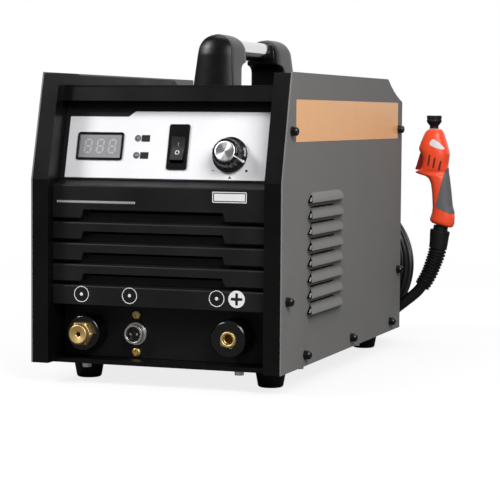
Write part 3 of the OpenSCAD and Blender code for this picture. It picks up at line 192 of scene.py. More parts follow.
paint = {
    # Fine-textured powder coat on the steel sides
    "greyEnamel": surface("grey powder coat", ("#737271", "#787775"), (0.66, 0.76), grain=0.5, height=0.02,
                          Specular_IOR_Level=0.3),
    # Semi-gloss powder coat on the folded steel front, cover and base
    "blackEnamel": surface("black powder coat", ("#0e0e0f", "#141415"), (0.44, 0.54), grain=0.7, height=0.02,
                           Specular_IOR_Level=0.3),
    # The same coat on the leaning posts, smoother where it was masked flat
    # Painted shade: this copy of the coat is darker than the one on the louvre front, so that the posts read darker
    "shadedFrameEnamel": surface("smooth black powder coat in painted shade", ("#08080a", "#0b0b0c"), (0.3, 0.37), grain=0.7, height=0.008,
                           Specular_IOR_Level=0.2),
    # Moulded ABS with a light spark-eroded texture
    "blackMoulding": surface("black textured ABS", ("#0b0b0c", "#111112"), (0.36, 0.46), ior=1.53, grain=0.5,
                             height=0.012, Specular_IOR_Level=0.35),
    # The handle's moulding, finer and darker
    "gripMoulding": surface("fine black ABS", ("#070708", "#0b0b0c"), (0.27, 0.34), ior=1.53, grain=0.5, height=0.008,
                            Specular_IOR_Level=0.22),
    # Polished ABS
    "glossBlack": surface("gloss black ABS", ("#050506", "#080809"), (0.14, 0.2), ior=1.53, grain=2.0, height=0.003),
    # Printed polyester overlay, matt silver-white
    "film": surface("silver polyester overlay", ("#e0e0e2", "#e6e6e8"), (0.44, 0.5), ior=1.57,
                    grain=0.4, height=0.004),
    # The overlay's black ink
    "ink": surface("black overlay ink", ("#0b0b0c", "#111112"), (0.42, 0.5), grain=0.5, height=0.003,
                   Specular_IOR_Level=0.35),
    # The overlay's grey ink
    "greyInk": surface("grey overlay ink", ("#6f6f71", "#7a7a7c"), (0.4, 0.5), grain=0.5, height=0.003),
    # White pad-printed marks
    "whiteInk": surface("white printed ink", ("#dcdcdc", "#e6e6e4"), (0.4, 0.5), grain=0.4, height=0.004),
    # Calendered vinyl stripe
    "orangeVinyl": surface("orange vinyl stripe", ("#eaa866", "#f0b172"), (0.34, 0.42), ior=1.53,
                           grain=1.2, height=0.006),
    # Moulded rubber
    "rubber": surface("black moulded rubber", ("#080808", "#0d0d0d"), (0.5, 0.62), ior=1.52, grain=0.6, height=0.03,
                      Specular_IOR_Level=0.3),
    # Extruded rubber jacket of the lead
    "leadRubber": surface("extruded lead rubber", ("#07070a", "#0c0c0f"), (0.3, 0.4), ior=1.52, grain=1.4,
                          height=0.03),
    # Bright nickel plate
    "nickel": surface("bright nickel plate", ("#dedbd3", "#eae7e0"), (0.3, 0.38), metal=1.0, grain=1.5, height=0.004),
    # Bright zinc under a cloudy passivation
    "cloudyZinc": surface("bright zinc plate", ("#dededc", "#ecece9"), (0.3, 0.4), metal=0.45,
                          grain=0.6, height=0.006),
    # Painted shade: a soot-dark sheet with no sheen that stands for the unlit depth behind the slits and louvre
    # mouths
    "depth": surface("painted shade of the interior", ("#030303", "#050505"), (0.9, 1.0), grain=1.0, height=0.002,
                     Specular_IOR_Level=0.0),
    # Zinc plate with a clear passivation
    "zinc": surface("clear zinc plate", ("#c2c4c6", "#d0d1d1"), (0.28, 0.4), metal=1.0, grain=0.6, height=0.006),
    # Aluminium cap with turning marks that spread the light round it
    "spunCap": spun("turned aluminium cap", "#dcdcdd", 0.3, 0.85),
    # Painted highlight: a lighter grey that stands for the lit inside of a pressed louvre's mouth
    "paintedHighlightEnamel": surface("painted highlight grey enamel", ("#8f8e8b", "#9a9996"), (0.4, 0.5), grain=0.5, height=0.01),
    # Black oxide on steel screws
    "blackOxide": surface("black oxide steel", ("#070708", "#0a0a0b"), (0.22, 0.3), grain=0.5, height=0.006),
    # Polished stainless tube
    "polishedSteel": surface("polished stainless steel", ("#d2d3d4", "#dcdddd"), (0.08, 0.14), metal=1.0,
                             grain=6.0, height=0.003),
    # Turned brass
    "brass": surface("turned brass", ("#edc87e", "#f8dca0"), (0.42, 0.5), metal=1.0, grain=0.5, height=0.006),
    # Glass-filled orange nylon of the torch
    "orangeNylon": surface("orange glass-filled nylon", ("#fb4a22", "#ff532a"), (0.36, 0.44), ior=1.53,
                           grain=0.5, height=0.014),
    # Shaded depth of the slots in the torch
    "slotBrown": surface("shaded nylon", ("#4e1c14", "#5c2218"), (0.5, 0.6), ior=1.53, grain=0.6, height=0.01),
    # Soft overmould
    "softGrip": surface("grey soft overmould", ("#56585a", "#626466"), (0.62, 0.74), grain=0.4, height=0.03),
    # Red acetal trigger
    "redAcetal": surface("dark red acetal", ("#7d1010", "#8f1616"), (0.28, 0.36), ior=1.48, grain=0.6, height=0.006),
    # Cream thermoset of the breaker
    "creamMoulding": surface("cream thermoset", ("#dedbd0", "#e6e3da"), (0.4, 0.48), ior=1.55,
                             grain=0.6, height=0.01),
    # Blue breaker lever
    "blueMoulding": surface("blue thermoplastic", ("#1c3c74", "#234782"), (0.32, 0.4), grain=0.6, height=0.01),
    # Die-cast alloy of the pump
    "castAlloy": surface("die-cast alloy", ("#8b8e90", "#9fa2a4"), (0.42, 0.56), metal=1.0, grain=0.8, height=0.04),
    # Extruded heat sink
    "finnedAlloy": surface("extruded aluminium", ("#aeb0b2", "#bdbfc0"), (0.3, 0.42), metal=1.0,
                           grain=0.4, height=0.01),
    # Solder-masked fibreglass board
    "board": surface("solder mask on fibreglass", ("#1c4a31", "#24573b"), (0.28, 0.4), ior=1.55,
                     grain=1.0, height=0.02),
    # Printed sleeve of the capacitors
    "sleeve": surface("capacitor sleeve", ("#232c3a", "#2c3747"), (0.26, 0.34), grain=1.2, height=0.008),
    # Lacquered laminated core
    "core": surface("lacquered core steel", ("#4c3d2e", "#5d4a37"), (0.4, 0.52), grain=0.5, height=0.03),
    # Enamelled winding wire
    "copper": surface("enamelled copper wire", ("#a86a34", "#bd7d40"), (0.22, 0.34), metal=1.0,
                      grain=1.4, height=0.08),
    # Polyurethane air hose
    "blueHose": surface("blue polyurethane hose", ("#24569c", "#2c62ad"), (0.24, 0.32), grain=2.0, height=0.01),
    # Woven nylon strap
    "strap": surface("woven nylon strap", ("#161617", "#222223"), (0.74, 0.86), grain=0.7, height=0.12),
    # Dim epoxy of the lamps
    "lens": surface("smoked epoxy lens", ("#8a8a8d", "#949497"), (0.12, 0.18), ior=1.55, grain=2.5, height=0.004,
                    Transmission_Weight=0.25),
    # Grey contrast filter of the display
    "filter": surface("grey display filter", ("#8b8b8d", "#939395"), (0.16, 0.22), ior=1.49, grain=3.0, height=0.002),
    # Unlit display segments behind it
    "segments": surface("unlit display segments", ("#a4a4a5", "#adadae"), (0.3, 0.36), ior=1.49,
                        grain=0.6, height=0.002),
}


# Adds a mesh to the scene in one material, riding on a body
def linkMesh(name, mesh, finish, body):
    obj = addObject(name.replace(" ", "_"), mesh)
    mesh.name = name
    mesh.materials.clear()
    mesh.materials.append(paint[finish])
    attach(obj, body)
    return obj


# Large faces keep their own normals beside small rounded edges
def keepFlat(obj):
    step = obj.modifiers.new("faces", "WEIGHTED_NORMAL")
    step.keep_sharp = True
    step.weight = 100
    return obj


# Smooth shading that stays sharp over edges turned by more than the angle
def shade(mesh, angle=35):
    mesh.shade_smooth()
    mesh.set_sharp_from_angle(angle=math.radians(angle))


# Merges doubles, dissolves flat edges when asked, and turns the faces outwards
def cleaned(mesh, merge=1e-6, flatten=0.0):
    work = bmesh.new()
    work.from_mesh(mesh)
    bmesh.ops.remove_doubles(work, verts=work.verts, dist=merge)
    if flatten:
        bmesh.ops.dissolve_limit(work, angle_limit=math.radians(flatten), verts=work.verts, edges=work.edges)
    bmesh.ops.recalc_face_normals(work, faces=work.faces)
    work.to_mesh(mesh)
    work.free()
    return mesh


# A mesh of a grid of points: each row is a closed ring, and the rows close too or end in flat caps
def gridMesh(points, closeRows=False, caps=True):
    rows, columns = points.shape[:2]
    index = np.arange(rows * columns).reshape(rows, columns)
    index = np.concatenate([index, index[:, :1]], 1)
    if closeRows:
        index = np.concatenate([index, index[:1]], 0)
    quads = np.stack([index[:-1, :-1], index[:-1, 1:], index[1:, 1:], index[1:, :-1]], -1).reshape(-1, 4)
    faces = quads.tolist()
    if caps and not closeRows:
        faces += [index[0, :-1][::-1].tolist(), index[-1, :-1].tolist()]
    mesh = bpy.data.meshes.new("grid")
    mesh.from_pydata(placed(points.reshape(-1, 3)), [], faces)
    return cleaned(mesh)


# Evenly spaced angles of a full turn
def fullTurn(sides):
    return np.linspace(0, 2 * np.pi, sides, endpoint=False)


# Rings about the third axis: radius times cosine and sine of the angle, at their heights
def rings(radius, height, angle):
    radius = radius + 0 * angle
    return np.stack([radius * np.cos(angle), radius * np.sin(angle), height + 0 * radius], -1)


# Radius of a hexagon at each angle: half its width across flats over the cosine from the nearest flat
def hexRadius(flats, angle):
    return flats / 2 / np.cos(np.mod(angle, np.pi / 3) - np.pi / 6)


# Each corner becomes a curve: its two ends and the corner, weighted (1-t) squared, 2t(1-t) and t squared
def rounded(profile, radius, steps=4, closed=False):
    points = np.asarray(profile, float)
    count = len(points)
    result = []
    for i in range(count):
        if not closed and i in (0, count - 1):
            result.append(points[i])
            continue
        before, here, after = points[i - 1], points[i], points[(i + 1) % count]
        r = radius[i] if np.ndim(radius) else radius
        a, b = before - here, after - here
        la, lb = np.linalg.norm(a), np.linalg.norm(b)
        r = min(r, 0.45 * la, 0.45 * lb)
        if r <= 0:
            result.append(here)
            continue
        p, q = here + a / la * r, here + b / lb * r
        for t in np.linspace(0, 1, steps + 1):
            result.append((1 - t) ** 2 * p + 2 * t * (1 - t) * here + t * t * q)
    return np.array(result)


# A rectangle with rounded corners about a centre
def rectangle(width, height, radius, x=0.0, y=0.0, steps=4):
    corners = [(x + width / 2, y + height / 2), (x - width / 2, y + height / 2),
               (x - width / 2, y - height / 2), (x + width / 2, y - height / 2)]
    return rounded(corners, radius, steps, closed=True)


# A circle about a centre
def circle(radius, x=0.0, y=0.0, sides=48):
    return rings(radius, 0, fullTurn(sides))[:, :2] + (x, y)


# A plate with holes: flat outlines filled, given thickness and a small rounded edge, then set in place
def plate(outlines, low, high, way, edge=0.15):
    data = bpy.data.curves.new("outline", "CURVE")
    data.dimensions = "2D"
    data.fill_mode = "BOTH"
    for outline in outlines:
        spline = data.splines.new("POLY")
        spline.points.add(len(outline) - 1)
        spline.points.foreach_set("co", np.concatenate([outline, np.zeros((len(outline), 1)),
                                                        np.ones((len(outline), 1))], 1).ravel())
        spline.use_cyclic_u = True
    data.extrude = max((high - low) / 2 - edge, 1e-4)
    data.bevel_depth = edge
    data.bevel_resolution = 1
    data.offset = -edge
    holder = addObject("outline", data)
    bpy.context.view_layer.update()
    mesh = bpy.data.meshes.new_from_object(holder.evaluated_get(bpy.context.evaluated_depsgraph_get()))
    bpy.data.objects.remove(holder)
    flat = np.empty(len(mesh.vertices) * 3)
    mesh.vertices.foreach_get("co", flat)
    flat = flat.reshape(-1, 3)
    flat[:, 2] += (low + high) / 2
    mesh.vertices.foreach_set("co", placed(way(flat)).ravel())
    cleaned(mesh)
    shade(mesh, 40)
    return mesh


# A tube along a line of points: at each, a circle across the line's direction, with its own radius
def tubeMesh(path, radius, sides):
    ahead = np.gradient(path, axis=0)
    ahead /= np.linalg.norm(ahead, axis=1, keepdims=True)
    side = np.cross(ahead, (0, 1, 0))
    side /= np.linalg.norm(side, axis=1, keepdims=True)
    up = np.cross(side, ahead)
    angle = fullTurn(sides)[:, None]
    circles = np.cos(angle) * side[:, None] + np.sin(angle) * up[:, None]
    return gridMesh(path[:, None] + radius[:, None, None] * circles)


# The cut of one closed mesh by another, as a new mesh
def carved(mesh, cutter, operation="DIFFERENCE"):
    base, tool = addObject("form", mesh), addObject("tool", cutter)
    step = base.modifiers.new("cut", "BOOLEAN")
    step.operation = operation
    step.object = tool
    step.solver = "EXACT"
    bpy.context.view_layer.update()
    result = bpy.data.meshes.new_from_object(base.evaluated_get(bpy.context.evaluated_depsgraph_get()))
    bpy.data.objects.remove(base)
    bpy.data.objects.remove(tool)
    return result


# A copy of CAD pieces whose flat faces are whole and whose edges are rounded
def softened(node, width, finish, segments=2, angle=28, smooth=35):
    source = frame["nodes"][node]
    mesh = source.data.copy()
    mesh.transform(source.matrix_world)
    cleaned(mesh, 2e-6, 0.4)
    shade(mesh, smooth)
    obj = linkMesh(node + " finish", mesh, finish, bodyOf[node])
    if width:
        edge = obj.modifiers.new("edge", "BEVEL")
        edge.width = width / 1000
        edge.segments = segments
        edge.limit_method = "ANGLE"
        edge.angle_limit = math.radians(angle)
        edge.harden_normals = False
        edge.use_clamp_overlap = True
        edge.miter_outer = "MITER_ARC"
    keepFlat(obj)
    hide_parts(node)
    return obj


record = frame["record"]
bodyOf = {}
for bodyName, members in record["behaviour"]["bodies"].items():
    for member in members:
        bodyOf[member] = bodyName
root = bodyOf["base_tray"]

# Adds a finished mesh to the object and hides the CAD nodes it stands for
def piece(name, mesh, finish, node, *others, smooth=None):
    if smooth:
        shade(mesh, smooth)
    obj = linkMesh(name, mesh, finish, bodyOf[node])
    if not smooth:
        keepFlat(obj)
    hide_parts(node, *others)
    return obj


# A finished mesh that adds detail to a CAD node without standing for it
def detail(name, mesh, finish, node, smooth=None):
    if smooth:
        shade(mesh, smooth)
    obj = linkMesh(name, mesh, finish, bodyOf[node])
    return obj if smooth else keepFlat(obj)


# Several grids of the same kind as one mesh
def gridsMesh(grids, closeRows=False, caps=True):
    work = bmesh.new()
    for grid in grids:
        part = gridMesh(grid, closeRows, caps)
        work.from_mesh(part)
        bpy.data.meshes.remove(part)
    mesh = bpy.data.meshes.new("grids")
    work.to_mesh(mesh)
    work.free()
    return mesh


# The torch's rings: height, left edge, right edge, half thickness and share of the foot's slope
torch = {
    "stations": [(135.2, 158.5, 180.2, 9, 1), (136.6, 156.6, 182, 12, 1), (140, 156.4, 183.2, 13, 0.7),
                 (145.3, 157.8, 183.4, 13, 0.3), (150, 159, 182.6, 13, 0), (156, 159.4, 180.6, 12.6, 0),
                 (171.4, 158.4, 179, 12, 0), (180.7, 157.1, 177.8, 12, 0), (186.5, 154.6, 177, 12, 0),
                 (189.6, 150.6, 176.6, 12, 0), (191.4, 142, 176.3, 11.5, 0), (193, 138.5, 176.1, 11, 0),
                 (195, 138.9, 175.9, 11, 0), (196.4, 143.6, 175.7, 12, 0), (201.5, 146.3, 175.4, 13, 0),
                 (208.5, 147, 176.2, 13.5, 0), (213.6, 145.4, 176.9, 13.5, 0), (218, 143, 176.1, 13.5, 0),
                 (221, 142.8, 175.2, 13.3, 0), (226, 144.5, 173.7, 12.8, 0), (232, 146.9, 171.8, 11.7, 0),
                 (237.6, 149.3, 169.9, 9.6, 0), (240.4, 151.8, 168.2, 8, 0), (241.4, 154, 166.8, 6.5, 0)],
    "slope": -0.248, "power": 0.8, "rows": 190, "columns": 72, "exit": 168.7,
}
lead = {"radius": 6, "coilRadius": 82, "turns": 12, "layers": 4, "start": -50, "climb": 0.25, "turnGap": 0.6,
        "at": (48.6, 88.3), "tail": 12, "guard": 4.5, "strap": 1.6, "seat": 0.3, "panelIn": 3}
leadDepth = rearY - lead["panelIn"] + lead["seat"] * 2.5 + lead["guard"] + lead["strap"] + lead["radius"]
leadWidth = 2 * lead["radius"]
startTurn = math.radians(lead["start"])
coilEntry = np.array(lead["at"]) + lead["coilRadius"] * np.array([math.cos(startTurn), math.sin(startTurn)])
entryWay = np.array([math.sin(startTurn), -math.cos(startTurn)])
footZ, footLeft, footRight = torch["stations"][0][:3]
exitZ = footZ + torch["slope"] * (torch["exit"] - (footLeft + footRight) / 2) - lead["seat"]
routePoints = np.array([[torch["exit"], exitZ], [167.1, 125.2], [166.1, 114.4], [164, 103], [160.5, 92.5],
                        [156.5, 82], [151, 71.5], [144, 61.5], [136, 54], coilEntry - 2 * leadWidth * entryWay,
                        coilEntry - leadWidth * entryWay])


# Catmull-Rom curve: each span blends its two ends and their neighbours with cubic weights
def routeAt(s):
    ends = np.concatenate([[2 * routePoints[0] - routePoints[1]], routePoints,
                           [2 * routePoints[-1] - routePoints[-2]]])
    i = np.minimum(np.floor(s).astype(int), len(routePoints) - 2)
    t = (s - i)[:, None]
    a, b, c, d = ends[i], ends[i + 1], ends[i + 2], ends[i + 3]
    p = 0.5 * (2 * b + (c - a) * t + (2 * a - 5 * b + 4 * c - d) * t ** 2 + (3 * b - a - 3 * c + d) * t ** 3)
    return np.stack([p[:, 0], np.full(len(p), leadDepth), p[:, 1]], -1)


# The coil: its radius swings in and out at a steady rate, and each reversal climbs to the next layer
def coilAt(s):
    pitch = leadWidth + lead["turnGap"]
    endTurn = lead["turns"] + (90 + lead["start"]) / 360
    perLayer = (endTurn + 0.4) / lead["layers"]
    m = np.mod(s, 2 * perLayer)
    swing = np.where(m < perLayer, m, 2 * perLayer - m)
    k = np.floor(s / perLayer + 0.5)
    u = np.clip((s - k * perLayer + lead["climb"]) / (2 * lead["climb"]), 0, 1)
    layer = np.where(k < 1, 0, np.where(k > lead["layers"] - 1, lead["layers"] - 1, k - 1 + u * u * (3 - 2 * u)))
    r = lead["coilRadius"] - pitch * swing
    a = startTurn - 2 * np.pi * s
    return np.stack([lead["at"][0] + r * np.cos(a), leadDepth + pitch * layer, lead["at"][1] + r * np.sin(a)], -1)


routeEnd = len(routePoints) - 1
coilEnd = lead["turns"] + (90 + lead["start"]) / 360
wound = coilAt(np.linspace(0, coilEnd, int(72 * coilEnd)))
leadLine = np.concatenate([routeAt(np.linspace(0, routeEnd, 160)), wound, [wound[-1] - [lead["tail"], 0, 0]]])
leadMetres = placed(leadLine)
leadCurve = bpy.data.curves.new("torch lead", "CURVE")
leadCurve.dimensions = "3D"
leadSpline = leadCurve.splines.new("POLY")
leadSpline.points.add(len(leadMetres) - 1)
leadSpline.points.foreach_set("co", np.concatenate([leadMetres, np.ones((len(leadMetres), 1))], 1).ravel())
leadCurve.bevel_depth = lead["radius"] / 1000
leadCurve.bevel_resolution = 5
leadCurve.use_fill_caps = True
leadCurve.materials.append(paint["leadRubber"])
leadObject = addObject("torch_lead", leadCurve)
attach(leadObject, root)
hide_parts("lead_tube", "lead_coil")

# The strap: a rounded rectangle round the turns
strap = {"width": 18, "thick": 1.6, "corner": 6}
turnPitch = leadWidth + lead["turnGap"]
strapLow = lead["at"][1] + lead["coilRadius"] - turnPitch * (coilEnd + 0.4) / lead["layers"] - turnPitch / 2
strapHigh = lead["at"][1] + lead["coilRadius"] + turnPitch / 2
strapDeep = turnPitch * lead["layers"]
strapMid = leadDepth - turnPitch / 2 + strapDeep / 2
loop = rectangle(strapDeep + strap["thick"], strapHigh - strapLow + strap["thick"], strap["corner"], strapMid,
                 (strapHigh + strapLow) / 2, 8)
band = np.roll(loop, -1, 0) - np.roll(loop, 1, 0)
band = np.stack([band[:, 1], -band[:, 0]], -1) / np.linalg.norm(band, axis=1, keepdims=True)
section = rectangle(strap["width"], strap["thick"], 0.6, steps=3)
strapGrid = np.zeros((len(loop), len(section), 3))
strapGrid[..., 0] = lead["at"][0] + section[None, :, 0]
strapGrid[..., 1] = loop[:, None, 0] + band[:, None, 0] * section[None, :, 1]
strapGrid[..., 2] = loop[:, None, 1] + band[:, None, 1] * section[None, :, 1]
strapObject = piece("coil strap", gridMesh(strapGrid, closeRows=True), "strap", "coil_tie", smooth=40)

sleeveObject = softened("lead_sleeve", 0.8, "rubber")
plugObject = softened("lead_plugs", 0.4, "brass")

# The bend protector: ribs that taper along the lead, under a smooth collar
boot = {"collar": [(0.12, 8), (0.56, 8.1), (0.6, 10.2), (0.64, 10.9), (0.72, 11.1), (1.4, 10.6), (2.3, 10.0)],
        "ribs": (2.4, 6.45), "count": 13, "rib": (10.0, 8.7), "depth": 1.5}
along = np.unique(np.concatenate([[c[0] for c in boot["collar"]], np.linspace(0.12, boot["ribs"][1], 460)]))
ribPlace = np.clip((along - boot["ribs"][0]) / (boot["ribs"][1] - boot["ribs"][0]), 0, 1)
ribWave = 0.5 + 0.5 * np.cos(2 * np.pi * ribPlace * boot["count"])
ribWave = np.clip(ribWave * 3 - 0.55, 0, 1) ** 0.7
collarRadius = np.interp(along, *np.transpose(boot["collar"]))
ribRadius = np.interp(ribPlace, [0, 1], boot["rib"]) - boot["depth"] * (1 - ribWave)
bootRadius = np.where(ribPlace > 0, ribRadius, collarRadius)
piece("bend protector", tubeMesh(routeAt(along), bootRadius, 40), "rubber", "torch_boot", smooth=50)
print("boot")

# The torch's form between the foot and the head, softened by averaging neighbours
stations = np.array(torch["stations"], float)
torchZ = np.linspace(stations[0, 0], stations[-1, 0], torch["rows"])
torchSides = np.stack([np.interp(torchZ, stations[:, 0], stations[:, k]) for k in (1, 2, 3, 4)], -1)
for _ in range(4):
    torchSides[1:-1] = (torchSides[:-2] + 2 * torchSides[1:-1] + torchSides[2:]) / 4


# A superellipse at each height: sine and cosine raised to a power keep the corners full
def torchGrid(grow=0.0):
    angle = fullTurn(torch["columns"])
    across = np.sign(np.cos(angle)) * np.abs(np.cos(angle)) ** torch["power"]
    deep = np.sign(np.sin(angle)) * np.abs(np.sin(angle)) ** torch["power"]
    middle = (torchSides[:, :1] + torchSides[:, 1:2]) / 2
    half = (torchSides[:, 1:2] - torchSides[:, :1]) / 2 + grow
    z = torchZ[:, None] + torch["slope"] * torchSides[:, 3:] * half * across
    return np.stack([middle + half * across, leadDepth + (torchSides[:, 2:3] + grow) * deep, z], -1)


# Depth of the torch's front surface at a place on it
def torchFace(x, z):
    left, right, thick = (np.interp(z, torchZ, torchSides[:, k]) for k in range(3))
    share = np.clip(np.abs((x - (left + right) / 2) / ((right - left) / 2)), 0, 0.999)
    return leadDepth - thick * (1 - share ** (2 / torch["power"])) ** (torch["power"] / 2)


# An outline in x and height, given depth from front to rear
def prism(outline, low, high, edge=0.1):
    return plate([np.asarray(outline, float)], low, high,
                 lambda p: np.stack([p[..., 0], p[..., 2], p[..., 1]], -1), edge)


# The soft pad stands a little proud of the shell that it is let into; the trigger has a pocket
torchCuts = {"pad": [(175.3, 200), (164.5, 155), (190, 145), (190, 200)], "padRound": 5, "padReach": 20,
             "padProud": 0.35, "pocket": [(136, 194.2), (154.6, 194.2), (154.6, 217), (136, 217)], "pocketRound": 1.5,
             "pocketReach": 6.5}
padTool, pocketTool = (
    prism(rounded(torchCuts[name], torchCuts[name + "Round"], steps, closed=True),
          leadDepth - torchCuts[name + "Reach"], leadDepth + torchCuts[name + "Reach"])
    for name, steps in (("pad", 6), ("pocket", 4)))
shell = carved(carved(gridMesh(torchGrid()), padTool), pocketTool)
piece("torch handle", cleaned(shell), "orangeNylon", "torch_handle", smooth=32)
pad = carved(gridMesh(torchGrid(torchCuts["padProud"])), padTool, "INTERSECT")
piece("grip pad", cleaned(pad), "softGrip", "torch_grip", smooth=32)


# A thin inlay that lies on the torch's front: rows along a centreline, as wide as the outline says
def inlay(name, start, end, widths, lift, finish):
    t = np.linspace(0, 1, len(widths))[:, None]
    line = np.asarray(start) * (1 - t) + np.asarray(end) * t
    way = np.asarray(end, float) - np.asarray(start)
    across = np.array([-way[1], way[0]]) / np.linalg.norm(way)
    v = np.linspace(-1, 1, 13)[None, :, None]
    flat = line[:, None] + across * v * widths[:, None, None] / 2
    face = torchFace(flat[..., 0], flat[..., 1])
    top = np.stack([flat[..., 0], face - lift, flat[..., 1]], -1)
    low = np.stack([flat[..., 0], face + 0.6, flat[..., 1]], -1)
    detail(name, gridMesh(np.concatenate([top, low[:, ::-1]], 1)), finish, "torch_handle", smooth=50)


# The label is a leaf, blunt at its upper end and pointed at the other; the slots are straight with round ends
inlays = {"label": ((158.0, 228.0), (173.4, 219.6)), "labelWidth": 7.4, "labelLift": 0.2, "slotWidth": 2.1,
          "slotLift": 0.06, "slots": [((157.9, 213.4), (155.7, 200.4)), ((163.9, 210.6), (161.3, 198.0)),
                                      ((170.2, 206.8), (167.6, 195.6))]}
leafShare = np.linspace(0, 1, 24)
leaf = np.minimum(np.sqrt(leafShare / 0.08 + 0.02), 1) * (1 - leafShare ** 2.4) ** 0.8
inlay("torch label", *inlays["label"], inlays["labelWidth"] * leaf + 0.2, inlays["labelLift"], "whiteInk")
slotShare = np.sqrt(np.clip(1 - (np.linspace(-1, 1, 18)) ** 6, 0.02, 1))
for k, (start, end) in enumerate(inlays["slots"]):
    inlay("torch slot %d" % k, start, end, inlays["slotWidth"] * slotShare, inlays["slotLift"], "slotBrown")

# The head with its cup, and the trigger
torchEnds = {"head": (159.1, leadDepth, 241.7), "triggerHalf": 6, "triggerEdge": 0.9}
headProfile = rounded([(0, 0), (5.4, 0), (4.8, 1.6), (4.8, 3.4), (7.4, 6.4), (8.5, 8.8), (7.8, 10.4), (8.2, 11.2),
                       (8.2, 14.7), (5.4, 14.7), (3.2, 11.2), (0.8, 11), (0.8, 8), (0, 8)], 0.5, 3)
headRings = rings(headProfile[:, :1], headProfile[:, 1:], fullTurn(64)) + torchEnds["head"]
piece("torch head", gridMesh(headRings), "rubber", "torch_head", smooth=35)
triggerOutline = rounded([(145, 215.4), (153.2, 215.4), (153.4, 209), (149.4, 202), (146.6, 196.4), (140.2, 196.2),
                          (139.4, 197.4), (141.2, 202.4), (142.8, 208.4)], 1.0, 5, closed=True)
trigger = prism(triggerOutline, leadDepth - torchEnds["triggerHalf"], leadDepth + torchEnds["triggerHalf"],
                torchEnds["triggerEdge"])
piece("torch trigger", trigger, "redAcetal", "torch_trigger", smooth=40)
print("torch")

# The folded sides: louvres, slits and the stripe, measured from the front edge and the base
sides = {"hoods": 8, "pitch": 15, "start": 74, "length": 114, "top": 162.7, "tall": 8.8,
         "slit": (85, 163), "slitDrop": 13.6, "slitTall": 1.5, "bandY": (38, 401), "bandZ": (211, 250)}
topZ = baseZ + case["height"]
drop = np.linspace(0, 1, 13)[:, None]
chamferStart = np.array([rearY - case["chamferRun"], topZ])
chamferMid = np.array([rearY - case["chamferRun"] * 0.62, topZ - case["chamferDrop"] * 0.62])
chamferEnd = np.array([rearY, topZ - case["chamferDrop"]])
chamfer = (1 - drop) ** 2 * chamferStart + 2 * drop * (1 - drop) * chamferMid + drop ** 2 * chamferEnd
frontEdge = [[frontY, baseZ], [frontY, baseZ + case["leanHeight"]], [frontY + case["leanRun"], topZ]]
sideOutline = np.concatenate([frontEdge, chamfer, [[rearY, baseZ]]])
# The left side keeps its square rear corner
squareOutline = np.concatenate([frontEdge, [[rearY - 1.2, topZ], [rearY, topZ - 1.2], [rearY, baseZ]]])
hoodTops = baseZ + sides["top"] - sides["pitch"] * np.arange(sides["hoods"])
wallX = case["width"] / 2 - case["sheet"]


# Plate points as distance back, height and reach out of one side
def sideways(side, x=0.0):
    return lambda p: np.stack([side * (x + p[..., 2]), p[..., 0], p[..., 1]], -1)


# One pressed louvre: height down its face and the reach out of the sheet there, as shares
hood = {"above": 0.3, "reach": 6.35, "lean": 12.5, "tail": 24, "skin": 1.1}
hoodDrop = np.array([0, 0.02, 0.06, 0.12, 0.2, 0.3, 0.42, 0.55, 0.68, 0.8, 0.9, 0.96, 0.99, 1.0])
hoodReach = hoodDrop ** 0.66 * (1 + 0.12 * np.sin(np.pi * hoodDrop))
hoodReach[-2:] = (0.985, 0.94)


# A point of a louvre: reach out of the side, distance along it and share of the way down
def hoodPoint(reach, y, down, top, side):
    return np.stack([side * (case["width"] / 2 + reach), frontY + sides["start"] + y,
                     top + hood["above"] - (sides["tall"] + hood["above"]) * down], -1)


# Its front edge leans back from the lip to the sheet, and its rear end dies away in a quarter of an ellipse
def hoodGrid(top, side):
    step = np.concatenate([np.linspace(0, 0.75, 12), 0.75 + 0.25 * np.sin(np.linspace(0.1, 0.5 * np.pi, 14))])
    down = np.concatenate([hoodDrop, [0.97, 0.8, 0.6, 0.4, 0.2]])
    reach = np.concatenate([hoodReach * hood["reach"], [hood["reach"] - hood["skin"]],
                            (hoodReach[[9, 7, 6, 4]] * hood["reach"] - hood["skin"]).clip(0.2)])
    front = hood["lean"] * (1 - down) ** 1.1
    rear = sides["length"] - hood["tail"] * 0.5 * (1 - down) ** 1.4
    y = front + (rear - front) * step[:, None]
    fall = np.clip((y - sides["length"] + hood["tail"]) / hood["tail"], 0, 1)
    out = reach * np.sqrt(1 - np.minimum(fall, 0.999) ** 2.2) - 0.25
    return hoodPoint(out, y, np.broadcast_to(down, y.shape), top, side)


# What shows through its front opening: a sheet of painted shade just inside the edge, with a strip of painted
# highlight in its middle
def hoodWeb(top, side, low, high, wide, depth):
    down = np.linspace(low, high, 9)
    full = np.interp(down, hoodDrop, hoodReach) * (hood["reach"] - 0.6)
    share = 0.5 + np.array([-0.5, 0.5]) * wide
    reach = full[:, None] * share
    y = hood["lean"] * (1 - down[:, None]) ** 1.1 + depth + 0 * reach
    near = hoodPoint(reach, y, down[:, None] + 0 * reach, top, side)
    far = hoodPoint(reach, y + 0.4, down[:, None] + 0 * reach, top, side)
    return np.concatenate([near, far[:, ::-1]], 1)


